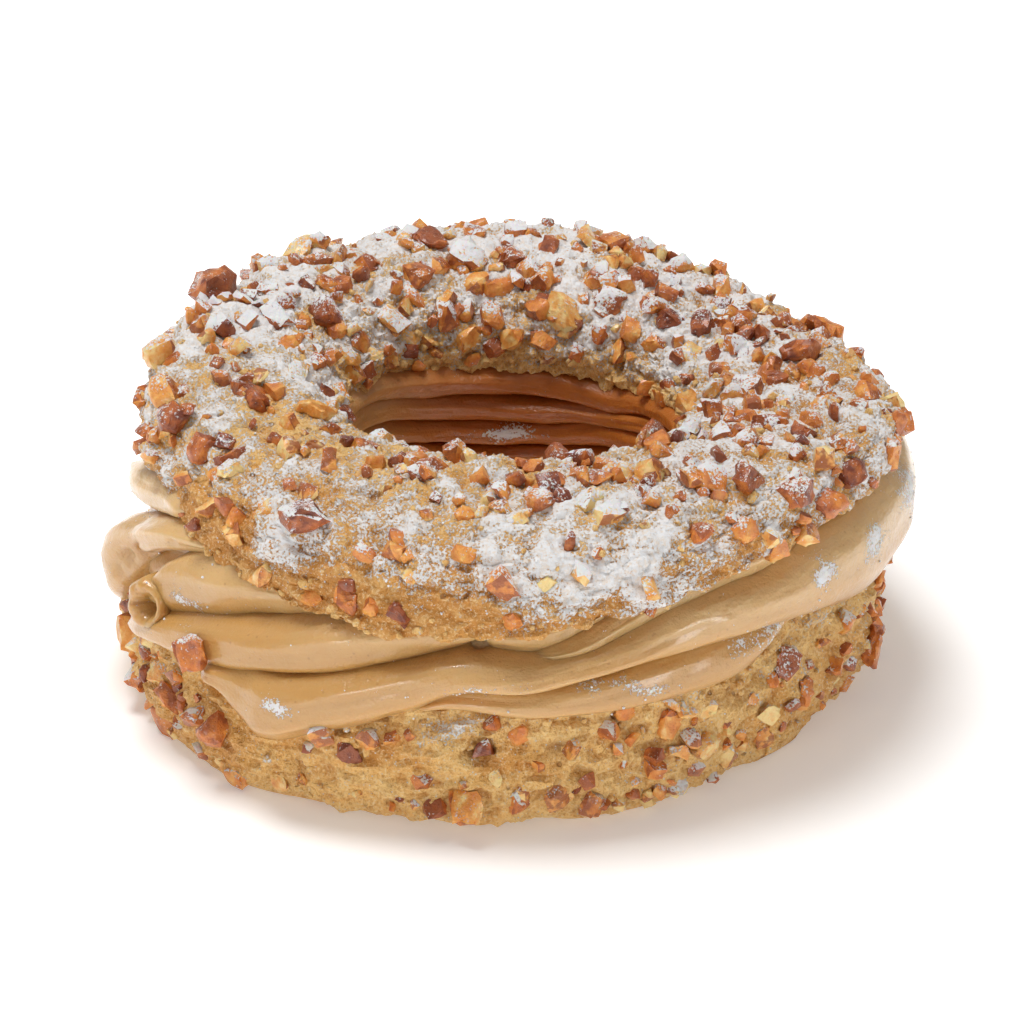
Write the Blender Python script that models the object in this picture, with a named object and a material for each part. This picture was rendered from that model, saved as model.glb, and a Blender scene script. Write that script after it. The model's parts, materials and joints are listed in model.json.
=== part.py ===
"""A paris brest: a ring of choux pastry, split level and filled with piped praline cream.

Three closed rings stand on one another: the lower crust, the cream and the lid.
Every ring is built from the same stations round the Z axis. A station is one upright
section through the pastry, drawn as (radius, height) points. The front of the pastry
looks along -Y, and angles run counter-clockwise from +X. Lengths are in metres.
"""

import math

import bmesh
import bpy
from mathutils import Vector, noise

# Mesh density.
STATIONS = 72
BASE_WALL_POINTS = 6
LID_DOME_POINTS = 13
OUTER_ROPE_POINTS = 4
INNER_ROPE_POINTS = 3

# A profile goes once round the ring, with smooth slopes between its crests and troughs.
# Each of these is a pair: direction in degrees, value in millimetres.
MILLIMETRE = 0.001

# Lower crust.
BASE_OUTER_RADIUS = ((0, 47.7), (190, 49.1), (240, 48.8), (312, 45.4))
BASE_INNER_RADIUS = ((0, 20.1), (60, 20.9), (120, 20.1), (190, 20.9), (250, 20.1), (310, 20.9))
BASE_CUT_HEIGHT = ((10, 17.8), (80, 17.4), (195, 14.0), (280, 17.2), (300, 17.3), (330, 19.5))
BASE_BELLY_HEIGHT = 0.0080
BASE_RISE = 0.0150
BASE_DROP = 0.0105
BASE_SQUARENESS = 2.7

# Lid.
LID_OUTER_RADIUS = ((34, 44.5), (85, 47.0), (158, 45.0), (200, 46.2), (265, 49.3), (335, 49.6))
LID_INNER_RADIUS = ((15, 21.8), (80, 20.4), (145, 21.8), (190, 20.6), (258, 22.0), (325, 20.7))
LID_OUTER_RIM_HEIGHT = ((75, 30.3), (175, 33.9), (245, 27.1), (258, 27.1), (330, 34.7))
LID_INNER_RIM_HEIGHT = ((160, 30.3), (340, 28.9))
LID_CREST_HEIGHT = ((25, 37.7), (78, 42.4), (140, 42.7), (235, 40.9), (290, 41.3))
LID_BELLY_RISE = 0.0022
LID_HOLLOW = 0.0015
LID_SQUARENESS = 2.3

# Praline cream. Its outer wall leans from a hem on the lower crust to the lid's rim, and is
# piped in ropes. The grooves between them climb from left to right across the front, and
# their crests and troughs are given as percentages of the wall's height.
CREAM_HEM_RADIUS = ((5, 48.3), (110, 47.2), (150, 47.3), (192, 50.7), (304, 46.1))
CREAM_TOP_RADIUS = ((0, 49.2), (50, 46.8), (80, 46.9), (166, 43.1), (250, 47.4), (300, 47.4))
CREAM_INNER_RADIUS = ((60, 21.4), (120, 22.1), (195, 21.4), (280, 22.4))
OUTER_GROOVES = (
    ((20, 30), (205, 4), (236, 4), (293, 51), (323, 27)),
    ((30, 57), (200, 8), (214, 8), (264, 82), (300, 85)),
    ((30, 83), (204, 22), (244, 91), (320, 92)),
    ((30, 94), (196, 52), (232, 96), (320, 97)),
)
OUTER_ROPE_BULGE = 0.0028
FULL_ROPE_HEIGHT = 0.0045
INNER_ROPES = 4
INNER_ROPE_BULGE = 0.0019
INNER_GROOVE_WANDER = 0.0006
HEM_OVERHANG = 0.0008
DROOP = 0.0042
DROOP_ANGLE = math.radians(234)
DROOP_SPREAD = math.radians(13)

# Shared.
GAP = 0.0005
LUMP_HEIGHT = 0.0011
LUMP_WIDTH = 0.011


def around(angle, profile):
    """Value of a profile at angle: it eases from each crest or trough to the next."""
    first, value = profile[0]
    direction = first + (math.degrees(angle) - first) % 360
    for (start, before), (end, after) in zip(profile, profile[1:] + ((first + 360, value),)):
        if direction < end:
            eased = (1 - math.cos(math.pi * (direction - start) / (end - start))) / 2
            return before + (after - before) * eased
    return value


def millimetres(angle, profile):
    return MILLIMETRE * around(angle, profile)


def droop(angle):
    """How far the cream hangs down over the lower crust where too much of it was piped."""
    away = math.remainder(angle - DROOP_ANGLE, math.tau)
    return DROOP * math.exp(-((away / DROOP_SPREAD) ** 2))


def lump(angle, radius, height):
    """Uneven swelling of the baked dough, up to LUMP_HEIGHT out or in."""
    place = Vector((radius * math.cos(angle), radius * math.sin(angle), height))
    return LUMP_HEIGHT * noise.noise(place / LUMP_WIDTH)


def signed_power(value, power):
    return math.copysign(abs(value) ** power, value)


def oval_point(turn, half_width, rise, drop, squareness):
    """Point of a squarish oval round the origin, at turn radians from its outer side."""
    power = 2 / squareness
    lift = signed_power(math.sin(turn), power)
    return half_width * signed_power(math.cos(turn), power), lift * (rise if lift > 0 else drop)


def oval_turn(height, reach, squareness):
    """Turn at which that oval stands height above its middle, if it reaches up to reach."""
    return math.asin(min(1, height / reach) ** (squareness / 2))


def swollen(angle, point, centre, share):
    """The point moved away from the section's centre by its share of the dough's lumps."""
    out = (Vector(point) - Vector(centre)).normalized() * lump(angle, *point) * share
    return point[0] + out.x, point[1] + out.y


def base_section(angle):
    """Lower crust: an oval that the baking tray flattens below and the knife cuts level above."""
    outer = millimetres(angle, BASE_OUTER_RADIUS)
    inner = millimetres(angle, BASE_INNER_RADIUS)
    middle, half_width = (outer + inner) / 2, (outer - inner) / 2
    cut = millimetres(angle, BASE_CUT_HEIGHT)
    foot_turn = -oval_turn(BASE_BELLY_HEIGHT, BASE_DROP, BASE_SQUARENESS)
    cut_turn = oval_turn(cut - BASE_BELLY_HEIGHT, BASE_RISE, BASE_SQUARENESS)
    walls = []
    for side in (1, -1):
        wall = []
        for step in range(BASE_WALL_POINTS):
            share = step / (BASE_WALL_POINTS - 1)
            turn = foot_turn + (cut_turn - foot_turn) * share
            across, up = oval_point(turn, half_width, BASE_RISE, BASE_DROP, BASE_SQUARENESS)
            point = (middle + side * across, BASE_BELLY_HEIGHT + up)
            fade = math.sin(math.pi * share)
            wall.append(swollen(angle, point, (middle, BASE_BELLY_HEIGHT), fade))
        wall[0] = (wall[0][0], 0.0)
        wall[-1] = (wall[-1][0], cut)
        walls.append(wall)
    outer_wall, inner_wall = walls
    return outer_wall + [(middle, cut)] + inner_wall[::-1] + [(middle, 0.0)]


def lid_section(angle):
    """Lid: the domed upper half of the same dough, hollow underneath where it was split."""
    outer = millimetres(angle, LID_OUTER_RADIUS)
    inner = millimetres(angle, LID_INNER_RADIUS)
    middle, half_width = (outer + inner) / 2, (outer - inner) / 2
    outer_rim = millimetres(angle, LID_OUTER_RIM_HEIGHT)
    inner_rim = millimetres(angle, LID_INNER_RIM_HEIGHT)

    def rim_line(radius):
        return inner_rim + (outer_rim - inner_rim) * (radius - inner) / (outer - inner)

    height = millimetres(angle, LID_CREST_HEIGHT) - rim_line(middle)
    tuck = oval_turn(LID_BELLY_RISE, height, LID_SQUARENESS)
    dome = []
    for step in range(LID_DOME_POINTS):
        share = step / (LID_DOME_POINTS - 1)
        turn = -tuck + (math.pi + 2 * tuck) * share
        across, up = oval_point(turn, half_width, height - LID_BELLY_RISE, height, LID_SQUARENESS)
        radius = middle + across
        point = (radius, rim_line(radius) + LID_BELLY_RISE + up)
        fade = math.sin(math.pi * share)
        dome.append(swollen(angle, point, (middle, rim_line(middle)), fade))
    for end in (0, -1):
        dome[end] = (dome[end][0], rim_line(dome[end][0]))
    under = [middle - half_width / 2, middle + half_width / 2]
    return dome + [(radius, rim_line(radius) + LID_HOLLOW) for radius in under]


def wall_radius(section, height):
    """Radius of a lower crust section's outer wall at that height."""
    wall = section[:BASE_WALL_POINTS]
    for (r0, z0), (r1, z1) in zip(wall, wall[1:]):
        if z0 <= height <= z1:
            return r0 + (r1 - r0) * (height - z0) / (z1 - z0)
    return wall[-1][0]


def rope_points(groove_before, groove_after, bulge, count):
    """One piped rope on a cream wall: from just past the groove before it to the one after it."""
    points = []
    for step in range(1, count + 1):
        turn = math.pi * step / count
        share = (1 - math.cos(turn)) / 2
        radius = groove_before[0] + (groove_after[0] - groove_before[0]) * share
        height = groove_before[1] + (groove_after[1] - groove_before[1]) * share
        points.append((radius + bulge * math.sin(turn), height))
    return points


def outer_ropes(angle, hem, ceiling):
    """The outer wall of the cream, from the hem up to the lid."""
    hem_radius = millimetres(angle, CREAM_HEM_RADIUS)
    top_radius = millimetres(angle, CREAM_TOP_RADIUS)
    shares = [around(angle, groove) / 100 for groove in OUTER_GROOVES] + [1]
    grooves = [hem]
    for share in shares:
        radius = hem_radius + (top_radius - hem_radius) * share
        grooves.append((radius, hem[1] + (ceiling - hem[1]) * share))
    points = []
    for before, after in zip(grooves, grooves[1:]):
        fullness = min(1, (after[1] - before[1]) / FULL_ROPE_HEIGHT)
        points += rope_points(before, after, OUTER_ROPE_BULGE * fullness, OUTER_ROPE_POINTS)
    return points


def inner_ropes(angle, ceiling, floor):
    """The cream's wall in the hole, from under the lid down to the lower crust."""
    radius = millimetres(angle, CREAM_INNER_RADIUS)
    grooves = [(radius, ceiling)]
    for rope in range(1, INNER_ROPES):
        wander = INNER_GROOVE_WANDER * math.cos((rope + 1) * angle + rope)
        grooves.append((radius, ceiling + (floor - ceiling) * rope / INNER_ROPES + wander))
    grooves.append((radius, floor))
    points = grooves[:1]
    for before, after in zip(grooves, grooves[1:]):
        points += rope_points(before, after, -INNER_ROPE_BULGE, INNER_ROPE_POINTS)
    return points[:-1]


def cream_section(angle, base, lid):
    """Cream: fills the space between the crusts and swells out of it in ropes."""
    base_outer, base_middle, base_inner = base[BASE_WALL_POINTS - 1 : BASE_WALL_POINTS + 2]
    lid_outer, lid_inner, *lid_hollow = lid[0:1] + lid[LID_DOME_POINTS - 1 :]
    floor = millimetres(angle, BASE_CUT_HEIGHT) + GAP
    hem_height = floor - GAP - HEM_OVERHANG - droop(angle)
    half_way = (floor + hem_height) / 2
    under_hem = [
        (base_outer[0] + GAP, floor),
        (wall_radius(base, half_way) + 2 * GAP, half_way),
        (wall_radius(base, hem_height) + 2 * GAP, hem_height),
    ]
    under_lid = [(radius, height - GAP) for radius, height in reversed(lid_hollow)]
    section = [(base_inner[0], floor), (base_middle[0], floor)] + under_hem
    section += outer_ropes(angle, under_hem[-1], lid_outer[1] - GAP)
    return section + under_lid + inner_ropes(angle, lid_inner[1] - GAP, floor)


def ring_mesh(name, sections):
    """Closed ring through one section for each station."""
    mesh = bpy.data.meshes.new(name)
    bm = bmesh.new()
    loops = []
    for station, section in enumerate(sections):
        angle = math.tau * station / len(sections)
        across, along = math.cos(angle), math.sin(angle)
        loops.append([bm.verts.new((r * across, r * along, z)) for r, z in section])
    for station, loop in enumerate(loops):
        following = loops[(station + 1) % len(loops)]
        for index, vert in enumerate(loop):
            after = (index + 1) % len(loop)
            bm.faces.new((vert, following[index], following[after], loop[after]))
    bmesh.ops.recalc_face_normals(bm, faces=bm.faces)
    bm.to_mesh(mesh)
    bm.free()
    mesh.shade_smooth()
    return mesh


def food_material(name, colour, roughness):
    material = bpy.data.materials.new(name)
    material.use_nodes = True
    shader = material.node_tree.nodes["Principled BSDF"]
    shader.inputs["Base Color"].default_value = (*colour, 1)
    shader.inputs["Roughness"].default_value = roughness
    shader.inputs["Metallic"].default_value = 0
    return material


def add_ring(name, sections, material):
    ring = bpy.data.objects.new(name, ring_mesh(name, sections))
    ring.data.materials.append(material)
    bpy.context.scene.collection.objects.link(ring)


def main():
    for leftover in list(bpy.data.objects):
        bpy.data.objects.remove(leftover)
    angles = [math.tau * station / STATIONS for station in range(STATIONS)]
    base = [base_section(angle) for angle in angles]
    lid = [lid_section(angle) for angle in angles]
    cream = [cream_section(*parts) for parts in zip(angles, base, lid)]
    baked = food_material("baked_choux", (0.62, 0.36, 0.13), 0.7)
    praline = food_material("praline_cream", (0.68, 0.42, 0.19), 0.4)
    add_ring("bottom_crust", base, baked)
    add_ring("praline_cream", cream, praline)
    add_ring("top_crust", lid, baked)


main()
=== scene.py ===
"""A paris brest, dressed: baked choux crusts, piped praline cream, chopped nuts and icing sugar.

The pastry is a ring that lies round the Z axis. A place on it is a direction round the ring,
in degrees counter-clockwise from +X with the front at 270, and then either a height or a
lean. A lean is a direction in the ring's own upright section: 0 looks outwards, 90 up and
180 into the hole. Heights and sizes in the lists are in millimetres.
"""

import json
import math
from itertools import product

import bmesh
import bpy
import numpy as np
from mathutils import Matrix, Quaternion, Vector
from mathutils.bvhtree import BVHTree

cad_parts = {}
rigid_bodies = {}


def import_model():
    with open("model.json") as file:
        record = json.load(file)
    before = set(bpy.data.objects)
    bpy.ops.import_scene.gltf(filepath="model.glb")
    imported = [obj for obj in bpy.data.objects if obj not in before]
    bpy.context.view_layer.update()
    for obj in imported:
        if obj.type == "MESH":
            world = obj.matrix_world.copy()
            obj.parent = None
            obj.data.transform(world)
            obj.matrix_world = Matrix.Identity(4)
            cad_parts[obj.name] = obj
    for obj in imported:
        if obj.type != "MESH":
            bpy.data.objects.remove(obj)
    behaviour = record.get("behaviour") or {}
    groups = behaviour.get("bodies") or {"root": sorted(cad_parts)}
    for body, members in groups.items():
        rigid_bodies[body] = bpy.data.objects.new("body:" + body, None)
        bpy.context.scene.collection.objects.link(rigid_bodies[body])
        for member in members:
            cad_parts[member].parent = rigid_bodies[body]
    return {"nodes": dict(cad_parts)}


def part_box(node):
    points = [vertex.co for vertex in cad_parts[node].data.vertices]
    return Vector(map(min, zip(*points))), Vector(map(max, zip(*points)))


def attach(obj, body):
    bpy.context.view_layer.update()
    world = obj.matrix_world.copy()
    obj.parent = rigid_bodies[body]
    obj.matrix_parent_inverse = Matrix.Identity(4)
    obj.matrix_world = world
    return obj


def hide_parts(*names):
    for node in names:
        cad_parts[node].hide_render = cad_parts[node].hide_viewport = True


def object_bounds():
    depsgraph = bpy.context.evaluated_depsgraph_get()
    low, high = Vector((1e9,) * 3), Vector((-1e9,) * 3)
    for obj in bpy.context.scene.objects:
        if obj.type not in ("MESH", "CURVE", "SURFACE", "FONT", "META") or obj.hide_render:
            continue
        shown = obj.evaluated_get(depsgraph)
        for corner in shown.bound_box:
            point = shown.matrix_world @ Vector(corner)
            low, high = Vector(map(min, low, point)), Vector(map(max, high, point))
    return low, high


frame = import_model()
cad_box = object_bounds()

MM = 0.001

# ---------------------------------------------------------------- places on the ring

LID_LOW, LID_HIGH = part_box("top_crust")
CREAM_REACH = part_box("praline_cream")[1].x
# The middle of the lid's section lies this far below the middle of the lid's box. A place on the
# lid is where a ray from this far out meets it, or what is nearest this far out if it misses.
SECTION_DROP = 4 * MM
RAY_START = 40 * MM
SECTION_RADIUS = 12 * MM
# What lies on the lower crust's wall is this much further out than the ring's middle.
WALL_MARGIN = 8


def rows_of(layer, field):
    """A layer's values as rows of three."""
    values = np.empty(len(layer) * 3, np.float32)
    layer.foreach_get(field, values)
    return values.reshape(-1, 3).astype(float)


def points_of(mesh):
    return rows_of(mesh.vertices, "co")


def normals_of(mesh):
    return rows_of(mesh.vertex_normals, "vector")


def directions(points):
    return np.degrees(np.arctan2(points[:, 1], points[:, 0])) % 360


def radii(points):
    return np.hypot(points[:, 0], points[:, 1])


LID_RADII = radii(points_of(frame["nodes"]["top_crust"].data))
RING_RADIUS = (LID_RADII.min() + LID_RADII.max()) / 2
SECTION_HEIGHT = (LID_LOW.z + LID_HIGH.z) / 2 - SECTION_DROP


def leans(points):
    """Direction in the ring's section, from -90 under the outer rim to 270 under the inner."""
    turned = np.degrees(np.arctan2(points[:, 2] - SECTION_HEIGHT, radii(points) - RING_RADIUS))
    return (turned + 90) % 360 - 90


def on_wall(points, margin=0):
    """Direction and height of every point, and whether it is on the ring's outer side."""
    return directions(points), points[:, 2] / MM, radii(points) > RING_RADIUS + margin * MM


def turned_from(direction, other):
    """Signed degrees from one direction to another, the short way round."""
    return (direction - other + 180) % 360 - 180


def patchwork(direction, other, patches):
    """Sum of soft-edged patches: (direction, height or lean, their half-widths, amount)."""
    total = np.zeros(len(direction))
    for middle, level, width, reach, amount in patches:
        away = (turned_from(direction, middle) / width) ** 2 + ((other - level) / reach) ** 2
        total += amount * np.exp(-away)
    return total


def eased(values, low, high):
    """0 at low and before, 1 at high and after, and eased in between."""
    share = np.clip((values - low) / (high - low), 0, 1)
    return share * share * (3 - 2 * share)


def plateau(values, low, full, fading, gone):
    """0 below low, 1 from full to fading, 0 above gone, and eased in between."""
    return eased(values, low, full) * (1 - eased(values, fading, gone))


def out_from(direction):
    angle = math.radians(direction)
    return Vector((math.cos(angle), math.sin(angle), 0))


def corners_and_faces(mesh):
    corners = [tuple(point) for point in points_of(mesh)]
    return corners, [tuple(polygon.vertices) for polygon in mesh.polygons]


def surface_of(mesh):
    return BVHTree.FromPolygons(*corners_and_faces(mesh))


def wall_spot(surface, direction, height):
    """Place on an outer wall, and the way that the wall faces there."""
    out = out_from(direction)
    start = out * 2 * CREAM_REACH + Vector((0, 0, height * MM))
    place, facing, _, _ = surface.ray_cast(start, -out)
    if place is None or place.dot(out) < RING_RADIUS:
        place, facing, _, _ = surface.find_nearest(start - out * CREAM_REACH)
    return place, facing


def lid_spot(surface, direction, lean):
    """Place on the lid, looked for from inside the ring's section."""
    out = out_from(direction)
    middle = out * RING_RADIUS + Vector((0, 0, SECTION_HEIGHT))
    turn = math.radians(lean)
    way = out * math.cos(turn) + Vector((0, 0, math.sin(turn)))
    place, facing, _, _ = surface.ray_cast(middle + way * RAY_START, -way)
    if place is None:
        place, facing, _, _ = surface.find_nearest(middle + way * SECTION_RADIUS)
    return place, facing


# ---------------------------------------------------------------- pieces and meshes


def add_piece(name, mesh):
    piece = bpy.data.objects.new(name, mesh)
    bpy.context.scene.collection.objects.link(piece)
    return piece


def finish_mesh(piece):
    """Turns what a piece's modifiers make into its plain mesh."""
    depsgraph = bpy.context.evaluated_depsgraph_get()
    made = bpy.data.meshes.new_from_object(
        piece.evaluated_get(depsgraph), preserve_all_data_layers=True, depsgraph=depsgraph
    )
    piece.modifiers.clear()
    made.name = piece.name
    piece.data = made
    return piece


def mark(mesh, kind="FLOAT", **layers):
    """Keeps one value for each point of a mesh, for the materials and trees to read."""
    field = "vector" if kind == "FLOAT_VECTOR" else "value"
    for name, values in layers.items():
        layer = mesh.attributes.new(name, kind, "POINT")
        layer.data.foreach_set(field, np.asarray(values).ravel())


def move_points(mesh, points):
    mesh.vertices.foreach_set("co", points.astype(np.float32).ravel())
    mesh.update()


def rest_on_tray(piece):
    """Flattens what would reach below the tray."""
    points = points_of(piece.data)
    points[:, 2] = points[:, 2].clip(0)
    move_points(piece.data, points)
    return piece


# A dent's raised lip: how far out it is and its half-width, for each half-width of the dent.
LIP_PLACE = 1.5
LIP_WIDTH = 0.5


def press(mesh, spot_of, marks):
    """Presses dents into a mesh, or bumps where their depth is negative, and gives its points.

    Each is (direction, height or lean, half-width, depth, how far its lip is raised).
    """
    surface = surface_of(mesh)
    points, normals = points_of(mesh), normals_of(mesh)
    moved = points.copy()
    for direction, level, width, depth, lip in marks:
        place, _ = spot_of(surface, direction, level)
        away = np.linalg.norm(points - np.array(place), axis=1) / (width * MM)
        shift = -depth * np.exp(-(away**2))
        shift += lip * np.exp(-(((away - LIP_PLACE) / LIP_WIDTH) ** 2))
        moved += normals * (shift * MM)[:, None]
    move_points(mesh, moved)
    return points_of(mesh)


# ---------------------------------------------------------------- node trees


# The unevenness that breaks up a layer of sugar: (size, detail, roughness, amount). Then how
# much sugar has to be there for it to start to show, and to hide what is under it.
SUGAR_DRIFTS = ((4.6 * MM, 3.0, 0.5, 0.36), (1.5 * MM, 4.0, 0.6, 0.20), (0.32 * MM, 2.0, 0.6, 0.42))
SUGAR_SHOWS = (0.43, 0.62)
NOISE_RANGE = (0.2, 0.8)
SPECK_EDGE = (0.26, 0.16)
SPECK_STEP = 0.01


class Wiring:
    """Writes a node tree line by line. A feed is another node's output or a plain value."""

    def __init__(self, tree):
        self.tree = tree

    def add(self, kind, *feeds, **settings):
        node = self.tree.nodes.new(kind)
        for name, value in settings.items():
            setattr(node, name, value)
        sockets = [socket for socket in node.inputs if socket.enabled]
        for socket, feed in zip(sockets, feeds):
            self.feed(socket, feed)
        return node

    def feed(self, socket, feed):
        if isinstance(feed, bpy.types.NodeSocket):
            self.tree.links.new(feed, socket)
        elif feed is not None:
            socket.default_value = feed

    def out(self, kind, *feeds, **settings):
        node = self.add(kind, *feeds, **settings)
        return next(socket for socket in node.outputs if socket.enabled)

    def chain(self, operation, total, *feeds):
        """The same operation on the total and each feed in turn."""
        for feed in feeds:
            total = self.out("ShaderNodeMath", total, feed, operation=operation)
        return total

    def sum(self, *feeds):
        return self.chain("ADD", *feeds)

    def times(self, *feeds):
        return self.chain("MULTIPLY", *feeds)

    def scaled(self, vector, factor):
        return self.out("ShaderNodeVectorMath", vector, factor, operation="SCALE")

    def noise(self, place, size, detail=2.0, rough=0.5):
        """Noise from 0 to 1 whose largest features are about size metres."""
        return self.out("ShaderNodeTexNoise", place, 1 / size, detail, rough)

    def swing(self, place, size, detail=2.0, rough=0.5):
        """The same noise, from about -1 to 1."""
        noise = self.noise(place, size, detail, rough)
        return self.out(
            "ShaderNodeMapRange", noise, *NOISE_RANGE, -1.0, 1.0, interpolation_type="LINEAR"
        )

    def ease(self, value, low, high, bottom=0.0, top=1.0):
        """Goes from bottom to top, eased, as the value goes from low to high."""
        return self.out(
            "ShaderNodeMapRange", value, low, high, bottom, top, interpolation_type="SMOOTHSTEP"
        )

    def blend(self, share, before, after):
        return self.out("ShaderNodeMix", share, before, after, data_type="RGBA")

    def tinted(self, colour, *tints):
        """The colour after tints in turn: (value, where it starts, where it is full, share, tint)."""
        for value, low, high, share, tint in tints:
            colour = self.blend(self.ease(value, low, high, 0.0, share), colour, tint)
        return colour

    def sugar_cover(self, place, amount):
        """How far sugar hides what is under it, 0 to 1: it clumps and thins out to grains."""
        for size, detail, rough, share in SUGAR_DRIFTS:
            amount = self.sum(amount, self.times(self.swing(place, size, detail, rough), share))
        return self.ease(amount, *SUGAR_SHOWS)

    def specks(self, place, size, share):
        """Lone round specks, one in each of this share of cells."""
        cells = self.add("ShaderNodeTexVoronoi", place, 1 / size).outputs
        dot = self.ease(cells["Distance"], *SPECK_EDGE)
        filled = self.ease(cells["Color"], 1 - share, 1 + SPECK_STEP - share)
        return self.times(dot, filled)

    def named(self, name, kind="FLOAT"):
        """A value that the mesh keeps for each point, in a Geometry Nodes tree."""
        return self.out("GeometryNodeInputNamedAttribute", name, data_type=kind)

    def moved(self, geometry, height):
        """The geometry with its points shifted this far along their normals."""
        offset = self.scaled(self.out("GeometryNodeInputNormal"), height)
        return self.out("GeometryNodeSetPosition", geometry, None, None, offset)


def geometry_tree(name, **inputs):
    """A Geometry Nodes tree with a finish and these inputs. Gives its wiring and its inputs."""
    tree = bpy.data.node_groups.new(name, "GeometryNodeTree")
    tree.is_modifier = True
    kinds = {"Geometry": "Geometry", **inputs, "Finish": "Material"}
    for label, kind in kinds.items():
        tree.interface.new_socket(label, in_out="INPUT", socket_type="NodeSocket" + kind)
    tree.interface.new_socket("Geometry", in_out="OUTPUT", socket_type="NodeSocketGeometry")
    return Wiring(tree), tree.nodes.new("NodeGroupInput").outputs


def finished_tree(w, inputs, geometry):
    """Ends a tree: every instance made real, and the finish set."""
    real = w.out("GeometryNodeRealizeInstances", geometry)
    end = w.tree.nodes.new("NodeGroupOutput").inputs[0]
    w.feed(end, w.out("GeometryNodeSetMaterial", real, None, inputs["Finish"]))
    return w.tree


def grow(piece, tree, material, **settings):
    """Runs a tree on a piece with these inputs and keeps the result as the piece's mesh."""
    settings["Finish"] = material
    modifier = piece.modifiers.new(tree.name, "NODES")
    modifier.node_group = tree
    for item in tree.interface.items_tree:
        if item.in_out == "INPUT" and item.name in settings:
            modifier[item.identifier] = settings[item.name]
    return finish_mesh(piece)


# ---------------------------------------------------------------- finishes

GOLD = (0.89, 0.46, 0.108, 1)
STRAW = (0.94, 0.62, 0.235, 1)
OVEN_BROWN = (0.60, 0.245, 0.042, 1)
GRAIN_PALE = (0.94, 0.69, 0.37, 1)
# Painted shade in pits and cracks.
CRACK_SHADE = (0.28, 0.09, 0.02, 1)
SUGAR_WHITE = (0.79, 0.787, 0.792, 1)
SUGAR_BRIGHT = (0.90, 0.895, 0.89, 1)
SUGAR_SHADE = (0.76, 0.61, 0.46, 1)
PRALINE = (0.57, 0.305, 0.088, 1)
# Pale cream: painted light, and pale streaks.
PRALINE_PALE_AND_LIT = (0.70, 0.455, 0.20, 1)
# Painted shade for the cream in the hole.
PRALINE_HOLE_SHADE = (0.47, 0.135, 0.018, 1)
# Painted shade in the cream's creases.
PRALINE_CREASE_SHADE = (0.50, 0.20, 0.045, 1)
PRALINE_SPECK = (0.36, 0.17, 0.06, 1)
NUT_TONES = (
    (0.00, (0.18, 0.032, 0.010, 1)),
    (0.25, (0.48, 0.125, 0.026, 1)),
    (0.50, (0.72, 0.235, 0.038, 1)),
    (0.75, (0.86, 0.39, 0.08, 1)),
    (1.00, (0.95, 0.70, 0.30, 1)),
)
NUT_SKIN = (0.34, 0.085, 0.022, 1)
TABLE_WHITE = (0.93, 0.93, 0.93, 1)
SUGAR_ROUGHNESS = 0.95
# How level a surface starts to catch falling sugar, and how level it catches it all.
CATCHES_SUGAR = (-0.1, 0.8)
# The table's glow, and how far from the middle it grows from the first to the second.
GLOW = (0.2, 0.6)
GLOW_GROWS = (40 * MM, 110 * MM)


def new_material(name, **constants):
    """A material, its shader with these inputs set, and the wiring to feed the rest.

    An input is named with _ for each space in its name.
    """
    material = bpy.data.materials.new(name)
    material.use_nodes = True
    shader = material.node_tree.nodes["Principled BSDF"]
    for label, value in constants.items():
        shader.inputs[label.replace("_", " ")].default_value = value
    return material, shader, Wiring(material.node_tree)


def object_place(w):
    return w.add("ShaderNodeTexCoord").outputs["Object"]


def read(w, name):
    """A value that the mesh keeps for each point, in a material."""
    return w.add("ShaderNodeAttribute", attribute_name=name).outputs["Fac"]


def upward(w):
    """How far a surface looks up, 0 to 1."""
    normal = w.add("ShaderNodeNewGeometry").outputs["Normal"]
    height = w.add("ShaderNodeSeparateXYZ", normal).outputs["Z"]
    return w.ease(height, *CATCHES_SUGAR)


def add_bump(w, shader, height, depth):
    """Relief finer than the mesh, as deep as this for each unit of height."""
    bump = w.tree.nodes.new("ShaderNodeBump")
    bump.inputs["Distance"].default_value = depth
    w.feed(bump.inputs["Height"], height)
    w.feed(shader.inputs["Normal"], bump.outputs[0])


def sugar_over(w, shader, cover, colour, roughness, white=SUGAR_WHITE):
    """Gives a surface its colour and roughness, and those of sugar where it is covered."""
    w.feed(shader.inputs["Base Color"], w.blend(cover, colour, white))
    w.feed(shader.inputs["Roughness"], w.ease(cover, 0.0, 1.0, roughness, SUGAR_ROUGHNESS))


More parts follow.
